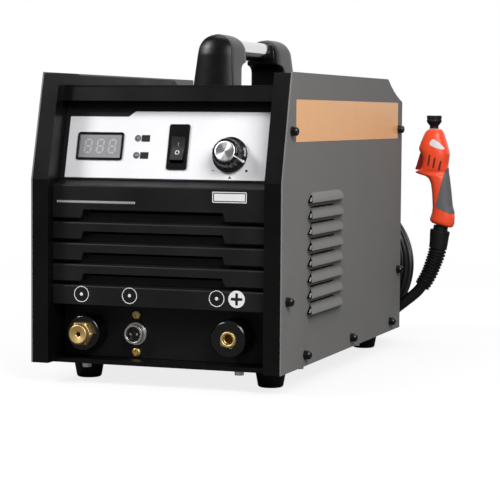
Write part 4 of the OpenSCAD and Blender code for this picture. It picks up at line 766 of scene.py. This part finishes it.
slitMiddle = frontY + sum(sides["slit"]) / 2
slitLength = sides["slit"][1] - sides["slit"][0]
slitHeights = hoodTops[:-1] - sides["slitDrop"]
hoodMiddle = frontY + sides["start"] + sides["length"] / 2 - 4
for side, node in ((1, "side_panel_right"), (-1, "side_panel_left")):
    slits = [rectangle(slitLength, sides["slitTall"], 0.6, slitMiddle, z) for z in slitHeights]
    gaps = [rectangle(sides["length"] - 26, 3.6, 1.2, hoodMiddle, top - sides["tall"] + 2.4) for top in hoodTops]
    outlines = [sideOutline if side > 0 else squareOutline, *slits, *gaps]
    piece(node + " finish", plate(outlines, 0, case["sheet"], sideways(side, wallX), 0.25), "greyEnamel", node)
    # The mouths are painted shade, and the strips inside them painted highlight
    for name, grids, finish in (
            (" hoods", [hoodGrid(top, side) for top in hoodTops], "greyEnamel"),
            (" hood mouths", [hoodWeb(top, side, 0.03, 0.995, 1, 1.0) for top in hoodTops], "depth"),
            (" hood folds", [hoodWeb(top, side, 0.5, 0.88, 0.3, 0.7) for top in hoodTops], "paintedHighlightEnamel")):
        detail(node + name, gridsMesh(grids), finish, node, smooth=50)
    # Painted shade: a dark sheet just inside each slit stands for the unlit interior behind it
    for z in slitHeights:
        slitShade = rectangle(slitLength + 4, 3.4, 0.4, slitMiddle, z)
        detail(node + " slit shade sheet", plate([slitShade], 0, 0.3, sideways(side, wallX - 0.32), 0.05), "depth", node)
    stripe = rectangle(sides["bandY"][1] - sides["bandY"][0], sides["bandZ"][1] - sides["bandZ"][0], 1,
                       frontY + sum(sides["bandY"]) / 2, baseZ + sum(sides["bandZ"]) / 2)
    detail(node + " stripe", plate([stripe], 0, 0.16, sideways(side, case["width"] / 2), 0.05), "orangeVinyl",
           node)
print("sides")

# Screws in the sides, as distance behind the front edge and height above the base
screws = {"side": [(25, 221), (404, 221), (15, 66), (406, 66), (377, 11), (226, 10), (70, 11)], "tall": 6.4,
          "radius": 4.2, "washer": 4.7, "recess": 2.2, "leftBack": 20}


# A screw along +Z: washer, domed head and a hexagonal recess. The recess rings ease from round to six-sided
def screwGrid(radius, tall, washer, recess, lobes=6, depth=0.5):
    angle = fullTurn(36)
    foot = [(washer, 0), (washer, 0.8), (washer - 0.3, 1.1), (radius, 1.1)] if washer else [(radius, 0)]
    dome = np.linspace(0, np.pi / 2, 9)
    head = np.stack([radius * (0.62 + 0.38 * np.cos(dome)), tall * (0.5 + 0.5 * np.sin(dome))], -1)
    rows = [rings(r, h, angle) for r, h in ((0, 0), *foot, *head)]
    if lobes == 6:
        shape = hexRadius(2 * math.cos(math.pi / 6), angle)
    else:
        shape = 0.34 + 0.66 * np.abs(np.cos(2 * angle)) ** 5
    for share, sink in ((1.06, 0.0), (1.0, 0.12), (0.94, depth * tall), (0.02, depth * tall + 0.2)):
        rows.append(rings(recess * share * shape, tall - sink, angle))
    return np.array(rows)


sideScrews = []
for side in (1, -1):
    for y, z in screws["side"]:
        y += screws["leftBack"] if side < 0 and y < 30 else 0
        grid = screwGrid(screws["radius"], screws["tall"], screws["washer"], screws["recess"])
        sideScrews.append(np.stack([side * (case["width"] / 2 + grid[..., 2]), frontY + y + grid[..., 0],
                                    baseZ + z + grid[..., 1]], -1))
fan = {"x": 40, "z": 178, "hole": 52.5, "radius": 4.2, "tall": 2.6, "out": 0.3}  # four cross-slot screws at the guard
for x in (-1, 1):
    for z in (-1, 1):
        grid = screwGrid(fan["radius"], fan["tall"], 0, screws["recess"], 4)
        sideScrews.append(np.stack([fan["x"] + x * fan["hole"] + grid[..., 0], rearY + fan["out"] + grid[..., 2],
                                    baseZ + fan["z"] + z * fan["hole"] + grid[..., 1]], -1))
piece("case screws", gridsMesh(sideScrews), "blackOxide", "case_screws", smooth=38)

# Screws under the base: hexagonal heads on washers, and the low heads that hold the feet
under = {"hex": [(77, 22), (115, 84), (115, 276), (77, 398)], "foot": [(93.5, 64), (93.5, 385)], "footZ": 14,
         "hexSide": [(0.02, 0), (5.2, 0), (5.2, 1), (4.4, 1), (4.4, 3.9), (4.0, 4.4), (0.02, 4.4)],
         "footSide": [(0.02, 0), (4.6, 0), (4.6, 1.2), (3.9, 2.5), (2.6, 3), (0.02, 3)]}


# Rings that hang from a level; the third to sixth of a hexagonal head are cut to six sides
def hangingRings(side, x, y, level, flats=None):
    angle = fullTurn(48)
    r, h = np.transpose(side)[:, :, None]
    r = r + 0 * angle
    if flats:
        r[3:6] = np.minimum(r[3:6] / math.cos(math.pi / 6), hexRadius(flats, angle))
    return rings(r, -h, angle) + (x, frontY + y, level)


underScrews = []
for x in (-1, 1):
    underScrews += [hangingRings(under["hexSide"], x * at, y, baseZ, 8.0) for at, y in under["hex"]]
    underScrews += [hangingRings(under["footSide"], x * at, y, under["footZ"]) for at, y in under["foot"]]
piece("underside screws", gridsMesh(underScrews), "cloudyZinc", "underside_screws", smooth=32)

# Rubber feet with a socket for their screw
feet = {"x": 93.5, "y": (64, 385)}
footProfile = rounded([(5.4, 3), (5.4, 0.6), (7.2, 0), (10.6, 0), (12.0, 1.2), (15, 17.6), (15, 19.9), (2.4, 19.9),
                       (2.4, 15), (5.4, 15)], [0, 0.3, 0.5, 1.2, 1.2, 1.0, 0.3, 0.2, 0.2, 0.2], 4)
footRings = rings(footProfile[:, :1], footProfile[:, 1:], fullTurn(64))
footGrids = [footRings + (x, frontY + y, 0) for x in (-feet["x"], feet["x"]) for y in feet["y"]]
piece("rubber feet", gridsMesh(footGrids, closeRows=True, caps=False), "rubber", "feet", smooth=35)
print("screws and feet")

# The control panel: places are x and distance up the leaning fascia
controls = {"display": (-68.6, 32), "displayHole": (44, 24), "lamp": -30.8, "lampU": (23.5, 40), "lampHole": 2.6,
            "switch": (11, 32), "switchHole": (16.2, 30.6), "knob": (63.5, 24.8), "knobHole": 4.8}
filmOutline = rounded([(-102.5, 1.4), (102.5, 1.4), (102.5, 66.1), (-35.7, 66.1), (-42.4, 60.9), (-102.5, 60.9)],
                      0.8, 3, closed=True)
filmHoles = [rectangle(*controls["displayHole"], 1, *controls["display"]),
             rectangle(*controls["switchHole"], 0.6, *controls["switch"]),
             circle(controls["knobHole"], *controls["knob"]),
             *[circle(controls["lampHole"], controls["lamp"], u) for u in controls["lampU"]]]


def fasciaMark(name, outlines, finish, low=0.2, high=0.32, edge=0.03):
    return detail(name, plate(outlines, low, high, onFascia, edge), finish, "control_fascia")


fasciaMark("fascia overlay", [filmOutline, *filmHoles], "film", 0.0, 0.24, 0.06)
softened("control_fascia", 0.0, "blackEnamel")
for u in controls["lampU"]:
    fasciaMark("lamp ring", [circle(radius, controls["lamp"], u) for radius in (3.3, 2.75)], "ink", 0.2, 0.3)
    fasciaMark("lamp label", [rectangle(8.6, 6.5, 0.5, controls["lamp"] + 8, u)], "ink", edge=0.04)
# The dial's marks: a minus, a small triangle and a dot
fasciaMark("dial minus", [rectangle(3.2, 0.7, 0.1, 47.5, 10.1)], "greyInk")
fasciaMark("dial middle", [rounded([(62.9, 2.8), (66.3, 2.8), (64.6, 5.4)], 0.1, 2, closed=True)], "ink")
fasciaMark("dial plus", [circle(1.3, 80.3, 10.4, 24)], "ink")
softened("display_bezel", 0.35, "glossBlack")
softened("switch_housing", 0.4, "glossBlack")
softened("switch_rocker", 0.6, "blackMoulding", 3)
softened("status_lamps", 0.0, "lens")
softened("display_window", 0.2, "filter")
# Three digits of seven slanted bars each: bar centres, which way they lie and their length
digit = {"step": 12.4, "width": 6.4, "height": 12.4, "bar": 1.7, "slant": 0.09}
bars = [(0, 1, True), (-0.5, 0.5, False), (0.5, 0.5, False), (0, 0, True), (-0.5, -0.5, False), (0.5, -0.5, False),
        (0, -1, True)]
for k in (-1, 0, 1):
    for column, row, level in bars:
        x, u = column * digit["width"], row * digit["height"] / 2
        half, thin = (digit["width"] if level else digit["height"] / 2) / 2 - 0.45, digit["bar"] / 2
        outline = np.array([(-half, 0), (-half + thin, thin), (half - thin, thin), (half, 0), (half - thin, -thin),
                            (-half + thin, -thin)])
        if not level:
            outline = outline[:, ::-1] * [1, -1]
        outline = outline + [x, u]
        outline[:, 0] += digit["slant"] * outline[:, 1] + controls["display"][0] + k * digit["step"]
        outline[:, 1] += controls["display"][1]
        detail("display segment", plate([outline], 0.57, 0.64, onFascia, 0.02), "segments",
               "display_window")
# The rocker's marks: a bar above a ring, on its two faces
rocker = {"swing": 8, "in": 4, "drop": 2.6, "rise": 0.184}


# Rocker points: turned by its swing about its pin, on faces that rise away from the middle
def onRocker(points):
    p = np.asarray(points, float)
    a = math.radians(-rocker["swing"])
    height = p[..., 2] + rocker["rise"] * np.maximum(np.abs(p[..., 1]) - 3, 0)
    u = p[..., 1] * math.cos(a) - height * math.sin(a)
    w = p[..., 1] * math.sin(a) + height * math.cos(a)
    return onFascia(np.stack([controls["switch"][0] + p[..., 0], controls["switch"][1] - rocker["drop"] + u,
                              w - rocker["in"]], -1))


detail("rocker bar", plate([rectangle(0.8, 3.2, 0.2, 0, 4.4)], 5.2, 5.7, onRocker, 0.05), "greyInk",
       "switch_rocker")
detail("rocker ring", plate([circle(2.2, 0, -3.8), circle(1.5, 0, -3.8)], 5.2, 5.7, onRocker, 0.05),
       "whiteInk", "switch_rocker")

# The knob: a skirt, a fluted grip, a turned cap and a white line from the cap down the grip to the skirt
knob = {"flutes": 18, "depth": 0.75, "whiteLine": -24}
knobAngle = fullTurn(288)
knobSide = np.array([(3.6, 2.0), (15.9, 1.15), (16.4, 1.0), (16.85, 1.25), (17, 1.7), (17, 3.2), (16.7, 3.6),
                     (15.0, 4.3), (14.2, 5.0), (13.9, 5.8), (13.5, 9.5), (12.95, 14.6), (12.7, 15.6), (12.2, 16.4),
                     (11.5, 16.9), (10.6, 17.0), (10.2, 16.85), (10.05, 16.5), (10.05, 16.1), (0.4, 16.1)])
fluteShare = np.interp(knobSide[:, 1], [4.4, 5.6, 15.4, 16.8], [0, 1, 1, 0]) * (knobSide[:, 0] > 11)
wave = np.clip(np.cos(knob["flutes"] * knobAngle) * 1.6 - 0.5, 0, 1)
knobRadius = knobSide[:, :1] - knob["depth"] * fluteShare[:, None] * wave[None, :]


# Rings about the knob's axis, out of the fascia
def aboutKnob(r, a, h):
    return onFascia(rings(r, h, a) + (*controls["knob"], 0))


knobGrid = aboutKnob(knobRadius, knobAngle, knobSide[:, 1:])
piece("current knob", gridMesh(knobGrid), "glossBlack", "knob_body", smooth=42)
capSide = np.array([(0.05, 17.42), (1.0, 17.45), (8.6, 17.6), (9.4, 17.55), (9.8, 17.3), (9.95, 16.9), (9.95, 16.02),
                    (0.1, 16.02)])
capGrid = aboutKnob(capSide[:, :1], knobAngle[::3], capSide[:, 1:])
piece("knob cap", gridMesh(capGrid), "spunCap", "knob_cap", smooth=30)
whiteLinePath = np.array([(10.3, 17.02), (11.5, 16.98), (12.3, 16.4), (12.8, 15.6), (13.05, 14.6), (13.6, 9.5),
                        (14.0, 5.9), (14.3, 5.0), (15.1, 4.35), (16.7, 3.7)])
whiteLineHalf = np.array([0.45, 0.45, 0.45, 0.5, 0.55, 0.7, 0.9, 1.0, 1.1, 1.1])
whiteLineWay = math.radians(knob["whiteLine"])
whiteLineFan = whiteLineHalf[:, None] / whiteLinePath[:, :1] * np.array([-1, -0.5, 0, 0.5, 1])
whiteLineTop = aboutKnob(whiteLinePath[:, :1] + 0.1, whiteLineWay + whiteLineFan, whiteLinePath[:, 1:] + 0.05)
whiteLineLow = aboutKnob(whiteLinePath[:, :1] - 1.2, whiteLineWay + whiteLineFan[:, ::-1], whiteLinePath[:, 1:] - 0.6)
detail("knob white line", gridMesh(np.concatenate([whiteLineTop, whiteLineLow], 1)), "whiteInk",
       "knob_body", smooth=40)
softened("potentiometer", 0.2, "zinc")
softened("control_board", 0.0, "board")

# Printed marks on the louvre front: x and height above the base
onBlade = facingFront(case["bladeDepth"])
marks = {"plate": (70.6, 160.2, 33.4, 10.0), "dots": (-103, -21.5, 153.1),
         "rings": [(-77.3, 65.9), (-28.2, 66.2), (58.7, 66.9)], "plus": (78.2, 67.1)}


def frontMark(name, outlines, finish, low=0.0, high=0.14, edge=0.03):
    return detail(name, plate(outlines, low, high, onBlade, edge), finish, "front_louvre")


plateX, plateZ, plateW, plateH = marks["plate"]
frontMark("header plate rim", [rectangle(plateW, plateH, 0.8, plateX, plateZ),
                               rectangle(plateW - 1.6, plateH - 1.6, 0.5, plateX, plateZ)], "whiteInk")
frontMark("header plate", [rectangle(plateW - 3.4, plateH - 3.4, 0.3, plateX, plateZ)], "whiteInk")
low, high, dotZ = marks["dots"]
chevron = np.array([(-0.8, 1.1), (0.1, 1.1), (0.9, 0), (0.1, -1.1), (-0.8, -1.1), (0.0, 0)])
frontMark("header chevrons", [chevron + [x, dotZ] for x in np.arange(low + 1, high, 2.3)], "whiteInk",
          edge=0.01)
for x, z in marks["rings"]:
    frontMark("socket ring", [circle(7.6, x, z), circle(6.9, x, z)], "whiteInk")
    frontMark("socket dot", [circle(1.6, x, z, 24)], "whiteInk")
x, z = marks["plus"]
arm, reach = 1.3, 5.6
plusArms = np.array([(arm, arm), (arm, reach), (-arm, reach), (-arm, arm), (-reach, arm), (-reach, -arm),
                     (-arm, -arm), (-arm, -reach), (arm, -reach), (arm, -arm), (reach, -arm), (reach, arm)])
frontMark("plus disc", [circle(8.0, x, z), plusArms + [x, z]], "whiteInk")

# The case, its front and its inside, from the CAD with rounded edges: edge width in millimetres and finish
for node, width, finish in (
        ("base_tray", 0.4, "blackEnamel"), ("front_frame", 0.8, "shadedFrameEnamel"), ("front_louvre", 0.35, "blackEnamel"),
        ("connector_panel", 0.3, "blackEnamel"), ("top_cover", 0.4, "blackEnamel"),
        ("rear_panel", 0.3, "blackEnamel"), ("handle_tube", 0.3, "polishedSteel"), ("handle_screws", 0.2, "zinc"),
        ("torch_outlet_collar", 0.6, "glossBlack"), ("control_socket_shell", 0.25, "nickel"),
        ("control_socket_insert", 0.2, "glossBlack"), ("work_socket_body", 0.7, "glossBlack"),
        ("work_socket_contact", 0.5, "brass"), ("inner_shelf", 0.2, "zinc"), ("heatsink", 0.2, "finnedAlloy"),
        ("power_board", 0.1, "board"), ("capacitors", 0.8, "sleeve"), ("transformer", 0.5, "core"),
        ("choke", 0.0, "copper"), ("compressor_pump", 0.6, "castAlloy"), ("compressor_motor", 0.8, "blackMoulding"),
        ("compressor_mounts", 0.3, "rubber"), ("air_pipe", 0.0, "copper"), ("air_hose", 0.4, "blueHose"),
        ("solenoid_valve", 0.5, "castAlloy"), ("fan_frame", 0.4, "blackMoulding"),
        ("fan_rotor", 0.2, "blackMoulding"), ("fan_guard", 0.0, "nickel"), ("breaker_body", 0.5, "creamMoulding"),
        ("breaker_lever", 0.8, "blueMoulding"), ("mains_gland", 0.4, "blackMoulding")):
    softened(node, width, finish)
print("case")

# Brass fitting, work socket lip and the control socket's screws, with heights out of the recessed panel
onPanel = facingFront(case["panelDepth"])
fitting = {"at": (-79, 28), "flats": 20.6, "side": [
    (4.5, -30), (4.5, -22), (7, -22), (7, 22.1), (10.9, 22.1), (12.6, 23.1), (12.6, 27.2), (10, 29), (9.2, 32.6),
    (8.8, 33.5), (8.2, 33.8), (2.9, 32.2), (2.4, 31.9), (2.4, -29.9)]}
lip = {"at": (69.8, 29.5), "side": [(5.0, 27.4), (5.0, 28.2), (5.5, 28.7), (6.8, 28.7), (7.3, 28.3), (7.3, 27.4)]}
cross = {"at": (-32.5, 27.5), "span": 18, "radius": 4.3, "tall": 2.6, "recess": 2.9}


# Rings about an axis out of the panel; the radius is cut to a hexagon where one is given
def panelRings(side, at, flats=None):
    angle = fullTurn(96)
    r, h = np.transpose(side)[:, :, None]
    return onPanel(rings(np.minimum(r, hexRadius(flats, angle)) if flats else r, h, angle) + (*at, 0))


fittingSide = rounded(fitting["side"], 0.3, 3, closed=True)
piece("brass fitting", gridMesh(panelRings(fittingSide, fitting["at"], fitting["flats"]), closeRows=True,
                                caps=False), "brass", "torch_outlet_fitting", smooth=32)
detail("work socket lip", gridMesh(panelRings(rounded(lip["side"], 0.3, 3, closed=True), lip["at"]),
                                   closeRows=True, caps=False), "brass", "work_socket_contact", smooth=40)
crossScrews = []
for z in (-cross["span"], cross["span"]):
    grid = screwGrid(cross["radius"], cross["tall"], 0, cross["recess"], 4)
    crossScrews.append(onPanel(grid + [cross["at"][0], cross["at"][1] + z, 0.02]))
piece("cross screws", gridsMesh(crossScrews), "brass", "socket_screws", smooth=38)

# The handle's ends: rounded sections stacked from the foot to the arch
grip = {"start": -59, "length": 207, "tall": 53, "width": 42, "leg": 35, "head": 20, "lean": 38, "arch": 17.6,
        "bow": 5.0, "bowIn": 2.4}


# Averages each value with its neighbours, again and again, so that straight runs meet in soft bends
def eased(values, times):
    values = np.array(values, float)
    for _ in range(times):
        values[1:-1] = (values[:-2] + 2 * values[1:-1] + values[2:]) / 4
    return values


# Half width, front and back of the handle end at each height
gripZ = np.linspace(0, grip["tall"] - 0.04, 213)
archFoot = grip["tall"] - grip["arch"]
legHalf = np.interp(gripZ, [0, archFoot + 2.3], [grip["width"] / 2, grip["arch"] * 0.99])
archHalf = np.sqrt(np.maximum(grip["arch"] ** 2 - np.maximum(gripZ - archFoot, 0) ** 2, 0.5))
gripHalf = eased(np.where(gripZ > archFoot, np.minimum(legHalf, archHalf), legHalf), 8)
gripFront = eased(np.interp(gripZ, [0, 33, 41, 47, 50, 52, 53], [0, 4.6, 6.9, 9.4, 11.4, 13.6, 16.5]), 60)
reach = grip["lean"] + grip["head"]
gripRear = eased(np.interp(gripZ, [0, 19, 21.5, 24.4, 25.8, 27, 33, 41, 47, 50, 52, 53],
                           [grip["leg"], 40.6, 43, 48, 56.6, reach - 0.2, reach - 0.1, reach - 0.7, reach - 4,
                            reach - 8, reach - 13, reach - 20]), 6)


# Sections stacked from the foot: a bowed face between two crisp edges, straight sides and a rounded back.
# Half of the outline as shares of the half width and of the depth; the other half is its mirror image
bow = np.linspace(0, 0.98, 15)
turn = np.linspace(0, 0.5 * np.pi, 9)
halfShare = np.concatenate([bow, [1, 1, 1], 0.76 + 0.24 * np.cos(turn), [0.4]])
depthShare = np.concatenate([0 * bow, [0.02, 0.2, 0.5], 0.72 + 0.28 * np.sin(turn), [1]])
bowShare = np.concatenate([1 - bow ** 2, [0, 0, 0], 0 * turn, [0]])
halfShare = np.concatenate([halfShare, -halfShare[:0:-1]])
depthShare, bowShare = (np.concatenate([share, share[:0:-1]]) for share in (depthShare, bowShare))


def gripGrid(flip):
    x = gripHalf[:, None] * halfShare
    near = (gripFront + grip["bowIn"] * gripHalf / gripHalf[0])[:, None]
    y = near + (gripRear[:, None] - near) * depthShare - grip["bow"] * (gripHalf / gripHalf[0])[:, None] * bowShare
    y = grip["start"] + y if not flip else grip["start"] + grip["length"] - y
    return np.stack([x, y, np.repeat((coverZ + gripZ)[:, None], x.shape[1], 1)], -1)


coverZ = topZ - case["coverDrop"]
for flip, node in ((False, "handle_front_end"), (True, "handle_rear_end")):
    piece(node + " finish", gridMesh(gripGrid(flip)), "gripMoulding", node, smooth=30)
print("handle")

# The studio floor is a matt pale sheet near the object and fades to white round it
stage = {"floor": 12, "clear": (0.5, 1.6)}
floorMesh = bpy.data.meshes.new("floor")
floorMesh.from_pydata([(-stage["floor"], -stage["floor"], 0), (stage["floor"], -stage["floor"], 0),
                       (stage["floor"], stage["floor"], 0), (-stage["floor"], stage["floor"], 0)], [], [(0, 1, 2, 3)])
floorMaterial = bpy.data.materials.new("white studio floor")
tree = emptyTree(floorMaterial)
floorPlace = addNode(tree, "ShaderNodeTexCoord").outputs["Object"]
away = addNode(tree, "ShaderNodeVectorMath", operation="LENGTH", _0=floorPlace).outputs["Value"]
fade = addNode(tree, "ShaderNodeMapRange", Value=away, From_Min=stage["clear"][0], From_Max=stage["clear"][1],
               To_Min=0.82, To_Max=1.0)
lightPath = addNode(tree, "ShaderNodeLightPath")
seen = addNode(tree, "ShaderNodeMath", operation="MULTIPLY", _0=fade.outputs["Result"],
               _1=lightPath.outputs["Is Camera Ray"])
floorColour = addNode(tree, "ShaderNodeMix", data_type="RGBA", Factor=lightPath.outputs["Is Glossy Ray"])
bounceColour = addNode(tree, "ShaderNodeMix", data_type="RGBA", Factor=lightPath.outputs["Is Diffuse Ray"])
bounceColour.inputs[6].default_value = toLinear("#f4f4f4")
bounceColour.inputs[7].default_value = toLinear("#5c5c5c")
tree.links.new(bounceColour.outputs[2], floorColour.inputs[6])
floorColour.inputs[7].default_value = toLinear("#5a5a5a")
matt = addNode(tree, "ShaderNodeBsdfPrincipled", Base_Color=floorColour.outputs[2], Roughness=0.7)
glow = addNode(tree, "ShaderNodeEmission", Color=(1, 1, 1, 1), Strength=1.0)
mixed = addNode(tree, "ShaderNodeMixShader", _0=seen.outputs["Value"], _1=matt.outputs["BSDF"],
                _2=glow.outputs["Emission"])
addNode(tree, "ShaderNodeOutputMaterial", Surface=mixed.outputs["Shader"])
floorMesh.materials.append(floorMaterial)
floorObject = addObject("floor", floorMesh)

cardMesh = bpy.data.meshes.new("backdrop")
cardMesh.from_pydata([(-6, 3.4, -0.1), (6, 3.4, -0.1), (6, 3.4, 4), (-6, 3.4, 4)], [], [(0, 1, 2, 3)])
cardMaterial = bpy.data.materials.new("white backdrop")
tree = emptyTree(cardMaterial)
cardPath = addNode(tree, "ShaderNodeLightPath")
cardSeen = addNode(tree, "ShaderNodeMath", operation="MAXIMUM", _0=cardPath.outputs["Is Camera Ray"],
                   _1=cardPath.outputs["Is Glossy Ray"])
cardClear = addNode(tree, "ShaderNodeBsdfTransparent", Color=(1, 1, 1, 1))
cardWhite = addNode(tree, "ShaderNodeEmission", Color=(1, 1, 1, 1), Strength=1.0)
cardMixed = addNode(tree, "ShaderNodeMixShader", _0=cardSeen.outputs["Value"], _1=cardClear.outputs["BSDF"],
                    _2=cardWhite.outputs["Emission"])
addNode(tree, "ShaderNodeOutputMaterial", Surface=cardMixed.outputs["Shader"])
cardMesh.materials.append(cardMaterial)
cardObject = addObject("backdrop", cardMesh)

world = bpy.data.worlds.new("studio")
bpy.context.scene.world = world
tree = emptyTree(world)
worldPath = addNode(tree, "ShaderNodeLightPath")
worldColour = addNode(tree, "ShaderNodeMix", data_type="RGBA", Factor=worldPath.outputs["Is Camera Ray"])
worldColour.inputs[7].default_value = (1, 1, 1, 1)
glossColour = addNode(tree, "ShaderNodeMix", data_type="RGBA", Factor=worldPath.outputs["Is Glossy Ray"])
glossColour.inputs[6].default_value = (0.34, 0.34, 0.35, 1)
glossColour.inputs[7].default_value = (0.17, 0.17, 0.175, 1)
tree.links.new(glossColour.outputs[2], worldColour.inputs[6])
sky = addNode(tree, "ShaderNodeBackground", Color=worldColour.outputs[2], Strength=1.0)
addNode(tree, "ShaderNodeOutputWorld", Surface=sky.outputs["Background"])


# A soft rectangular lamp at a place, aimed at a point
def areaLight(name, place, aim, size, power):
    data = bpy.data.lights.new(name, "AREA")
    data.shape = "RECTANGLE"
    data.size, data.size_y = size
    data.energy = power
    obj = addObject(name, data)
    obj.location = place
    obj.rotation_euler = (Vector(aim) - Vector(place)).to_track_quat("-Z", "Y").to_euler()
    return obj


lights = [
    areaLight("key", (-1.8, -1.4, 1.9), (0, 0, 0.15), (0.7, 0.7), 50),
    areaLight("fill", (1.05, -1.2, 1.2), (0, 0, 0.3), (1.0, 0.9), 30),
    areaLight("top", (0.1, 0.5, 2.2), (0, 0, 0.2), (1.6, 1.6), 22),
]
bpy.context.scene.view_settings.view_transform = "Standard"
